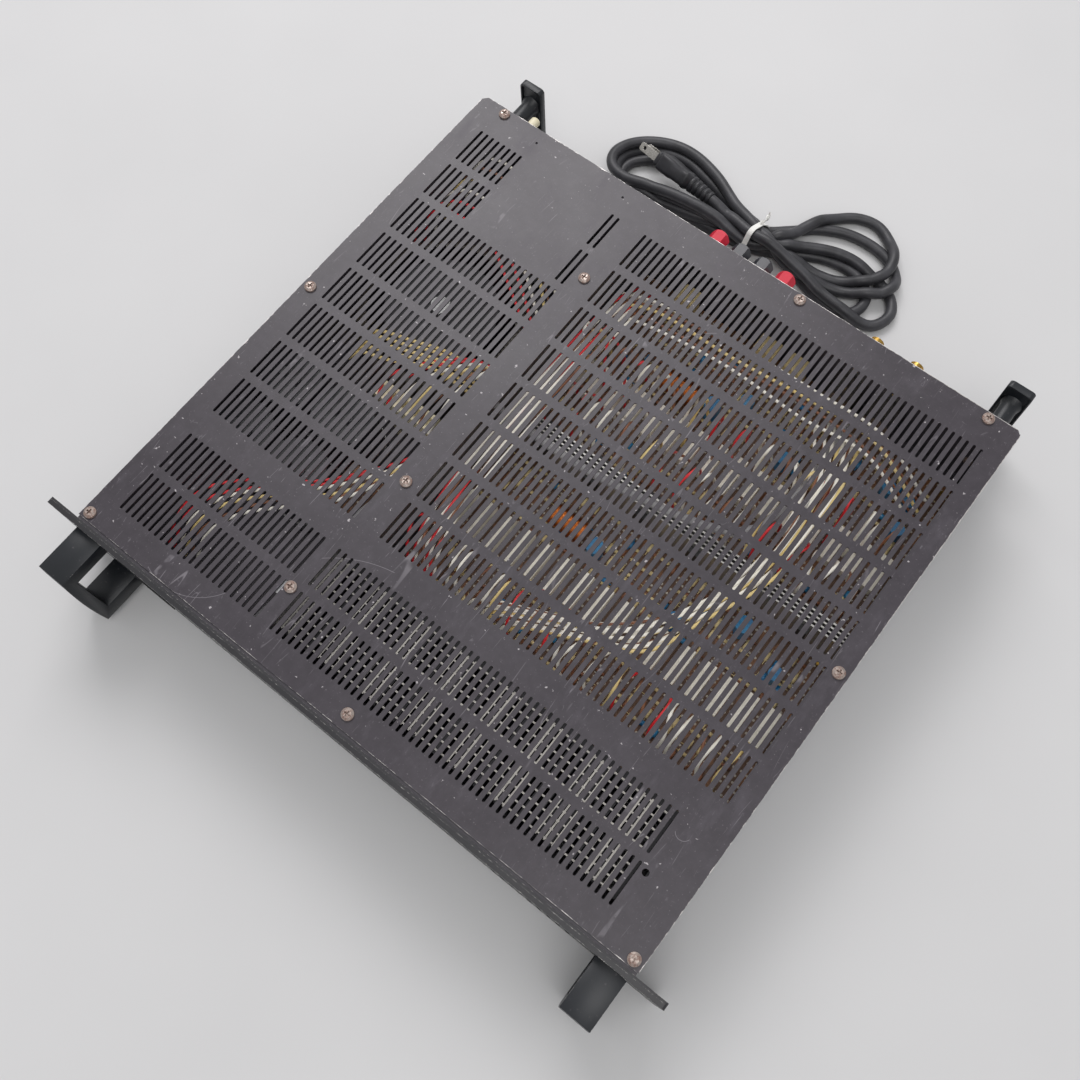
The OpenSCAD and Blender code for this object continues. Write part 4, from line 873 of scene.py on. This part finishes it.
def make_tie(line):
    """A flat nylon strap drawn round the bundle, with its twisted tail."""
    side = line[:, 0] - TIE_X
    cross = [i for i in range(len(line) - 1) if side[i] * side[i + 1] <= 0]
    rim = []
    for i in cross:
        for k in range(24):
            a = 2 * math.pi * k / 24
            y = line[i][1] + STRAND_R * math.cos(a)
            z = max(line[i][2] + STRAND_R * math.sin(a), TIE_FLOOR)
            rim.append((round(y, 3), round(z, 3)))
    ring = hull_2d(rim)
    middle = np.mean(ring, axis=0)
    rings = []
    for y, z in ring:
        out = Vector((0, y - middle[0], z - middle[1])).normalized() * STRAP_T
        lean = 0.10 * (y - middle[0])
        rings.append([(TIE_X - STRAP_HALF + lean, y, z), (TIE_X - STRAP_HALF + lean, y + out.y, z + out.z),
                      (TIE_X + STRAP_HALF + lean, y + out.y, z + out.z), (TIE_X + STRAP_HALF + lean, y, z)])
    verts = [tuple(spot(*p)) for r in rings for p in r]
    n = len(rings)
    faces = []
    for i in range(n):
        here, there = i * 4, ((i + 1) % n) * 4
        for k in range(4):
            after = (k + 1) % 4
            faces.append((here + k, here + after, there + after, there + k))
    mesh = bpy.data.meshes.new("strap")
    mesh.from_pydata(verts, [], faces)
    work = bmesh.new()
    work.from_mesh(mesh)
    top = max(ring, key=lambda p: p[1] + 0.6 * p[0])
    tail = smooth_path([
        (TIE_X, top[0] - 3, top[1]), (TIE_X + 0.6, top[0] + 1, top[1] + 2.4),
        (TIE_X + 2.2, top[0] + 4, top[1] + 3.6), (TIE_X + 2.0, top[0] + 8, top[1] + 6.6)], 0.8)
    half_w, half_h = 1.5, 0.45
    sections = []
    for i, p in enumerate(tail):
        c, s = math.cos(0.5 * i), math.sin(0.5 * i)
        sections.append([
            spot(p[0] + half_w * c * sx - half_h * s * sy, p[1], p[2] + half_w * s * sx + half_h * c * sy)
            for sx, sy in ((-1, -1), (1, -1), (1, 1), (-1, 1))])
    work.from_mesh(loft(sections))
    bmesh.ops.recalc_face_normals(work, faces=work.faces)
    work.to_mesh(mesh)
    work.free()
    strap = link("nylon_tie", mesh, "white_nylon", smooth=False)
    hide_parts("cord_tie")
    return strap


def make_strain_relief():
    """The grooved, tapered sleeve where the lead leaves the rear panel."""
    profile = [(-7.5, 6.4), (0.0, 6.4), (0.05, 8.5), (2.6, 8.5), (3.0, 7.6)]
    profile += [(3.0 + s, r) for s, r in ribbed_profile(21.0, 6.9, 5.1, 2.4, 1.3, 1.0)]
    mesh = turned(profile, (ROUTE[0][0] * MM, REAR_FACE, ROUTE[0][2] * MM), (0, 1, 0))
    relief_piece = link("strain_relief", mesh, "black_rubber")
    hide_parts("cord_gland")
    return relief_piece


# ---- inside -----------------------------------------------------------------

def wires(name, runs, radius_mm, finish, tree):
    """Many wires in one piece: each run is a list of (x, behind, height) in mm."""
    data = bpy.data.curves.new(name, "CURVE")
    data.dimensions = "3D"
    for run in runs:
        path = smooth_path(run, 4.0)
        spline = data.splines.new("POLY")
        spline.points.add(len(path) - 1)
        for point, p in zip(spline.points, path):
            point.co = (*spot(*p), 1.0)
    return grow(name, data, tree, {"Radius": radius_mm * MM, "Sides": 8}, finish)


def grid_points(x0, x1, y0, y1, step, z):
    """A bare mesh of points over a board."""
    verts = [tuple(spot(x, y, z)) for x in np.arange(x0, x1, step) for y in np.arange(y0, y1, step)]
    mesh = bpy.data.meshes.new("points")
    mesh.from_pydata(verts, [], [])
    return mesh


def make_wires():
    """The wiring: bowed leads, looms and breakouts, set out by chance with a fixed seed."""
    chance = random.Random(7)
    along = wire_tree()
    board = BOARD_TOP / MM

    def near(value, reach):
        return value + chance.uniform(-reach, reach)
    runs = {"red": [], "white": [], "brown": [], "yellow": []}
    # Leads bowed up from the two boards on each side of the row of output devices
    for k in range(24):
        x = -50 + 10.6 * k
        for row, (first, last) in enumerate(((152, 112), (284, 246), (322, 296))):
            colour = ("red", "white", "white", "brown", "white", "yellow", "red",
                      "brown")[(3 * k + 5 * row) % 8]
            top = near(79, 4)
            runs[colour].append([(near(x, 2), first, board), (near(x, 2), first - 3, board + 20),
                                 (near(x, 4), (first + last) / 2, top),
                                 (near(x, 5), last + 4, top - 12), (near(x, 4), last, board)])
    # The loom that swings across both boards, and its breakouts
    for k in range(10):
        x, lift = 106 + 3.4 * k, near(80, 3)
        runs[("white", "brown", "white", "white", "yellow")[k % 5]].append(
            [(x, 372, 30), (near(x + 8, 3), 345, 62), (near(x + 26 - 1.5 * k, 2), 300, lift),
             (near(x + 30 - 2 * k, 2), 240, lift),
             (near(x + 12 - 2 * k, 2), 185, lift), (near(x - 22, 3), 150, lift - 4),
             (x - 60, 132, lift - 8), (x - 96, 118, 60), (x - 110, 108, 30)])
    for k in range(8):
        x = -53 + 2.6 * k
        runs[("red", "white", "brown", "white")[k % 4]].append(
            [(x, 380, 34), (near(x, 1), 330, 66), (near(x, 1), 240, 79), (near(x, 1), 170, 76),
             (near(x + 4, 1), 128, 66), (x + 10, 104, 30)])
    # Across the back, from the binding posts and sockets
    for k in range(5):
        y = 336 + 5 * k
        runs[("white", "brown", "yellow", "brown")[k % 4]].append(
            [(-58, y, 50), (-20, near(y, 2), 72), (40, near(y, 3), 78), (100, near(y + 4, 3), 76),
             (150, near(y + 8, 3), 70), (196, y, 40)])
    # Power side: from the switch, round the transformer to the rectifier and the reservoir capacitors
    for k, colour in enumerate(("red", "red", "white", "yellow", "brown", "white")):
        runs[colour].append([(-184 + 5 * k, 24, 44), (-182 + 5 * k, 42, 66),
                             (near(-172 + 6 * k, 2), 64, 78), (near(-150 + 6 * k, 2), 88, 80),
                             (near(-118 + 4 * k, 2), 112, 78), (near(-92 + 2 * k, 2), 150, 74),
                             (-80, 180 + 3 * k, 60)])
        runs[colour].append([(-206, 300 + 12 * k, 30), (near(-202, 2), 310 + 12 * k, 62),
                             (near(-186, 3), 322 + 11 * k, 76),
                             (near(-150, 3), 320 + 10 * k, 78), (near(-110, 3), 300 + 8 * k, 76),
                             (-78, 280 + 6 * k, 58)])
        runs[colour].append([(-134 + 9 * k, 184, 66), (-132 + 9 * k, 196, 79),
                             (near(-122 + 7 * k, 2), 216, 80), (-96 + 3 * k, 240, 78),
                             (-70, 250 - 2 * k, 66)])
    for k in range(5):
        runs["yellow"].append([(-172, 196 + 5 * k, 60), (-160, 200 + 5 * k, 76),
                               (near(-138, 2), 206 + 5 * k, 80), (near(-112, 2), 218 + 4 * k, 80),
                               (-84, 224 + 4 * k, 66)])
    for colour, thick in (("red", 1.0), ("white", 1.15), ("brown", 0.9), ("yellow", 1.2)):
        wires("wires_" + colour, runs[colour], thick, colour + "_pvc", along)


def make_board_parts():
    """Small leaded parts scattered over the boards between the larger ones."""
    board = BOARD_TOP / MM
    parts = part_tree()
    for name, finish, keep, seed, length, radius, step in (
            ("carbon_resistors", "fish_paper", 0.45, 3, 6.5, 1.25, 7.5),
            ("film_resistors", "brown_pvc", 0.35, 11, 6.5, 1.2, 8.5),
            ("small_chokes", "blue_sleeve", 0.12, 23, 5.0, 2.0, 11.0)):
        joined = bmesh.new()
        for y0, y1 in ((184, 222), (100, 146), (250, 276), (314, 374)):
            joined.from_mesh(grid_points(-52, 198, y0, y1, step, board))
        mesh = bpy.data.meshes.new("points")
        joined.to_mesh(mesh)
        joined.free()
        grow(name, mesh, parts, {"Keep": keep, "Seed": seed, "Length": length * MM, "Radius": radius * MM,
                                 "Lift": radius * MM, "Jitter": 2.0 * MM},
             finish)


def make_transformer_turns():
    """Turns of tape round the transformer's core."""
    lo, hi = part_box("transformer_winding")
    middle, outer, inner = (lo + hi) / 2, (hi.x - lo.x) / 2, 18 * MM
    anchor = bpy.data.meshes.new("anchor")
    anchor.from_pydata([tuple(middle)], [], [])
    grow("transformer_turns", anchor, winding_tree(), {
        "Turns": 90, "Middle": (outer + inner) / 2, "Width": outer - inner - 0.2 * MM,
        "Height": (hi.z - lo.z) - 0.2 * MM, "Corner": 9.0 * MM,
        "Tape": 7.0 * MM, "Thickness": 0.35 * MM, "Lean": 0.16}, "tape", smooth=False)


# ---- outside ----------------------------------------------------------------

def make_outside():
    """Castings and caps with their edges rounded."""
    for side in ("left", "right"):
        softened("handle_" + side, 0.9, "handle_enamel_" + side)
        softened("rear_stand_" + side, 0.6, "stand_enamel_" + side, segments=2)
    for n, finish in ((1, "red_phenolic"), (2, "grey_phenolic"), (3, "grey_phenolic"), (4, "red_phenolic")):
        softened(f"post_cap_{n}", 0.4, finish, f"post_{n}_cap",
                 2, smooth=False)


make_materials()
make_camera()
make_stage()
lead, lead_line = make_cord()
on_lead = make_plug() + [make_tie(lead_line)]
make_strain_relief()
for node, finish in FINISH.items():
    dress(node, finish)
make_outside()
make_wires()
make_board_parts()
make_transformer_turns()
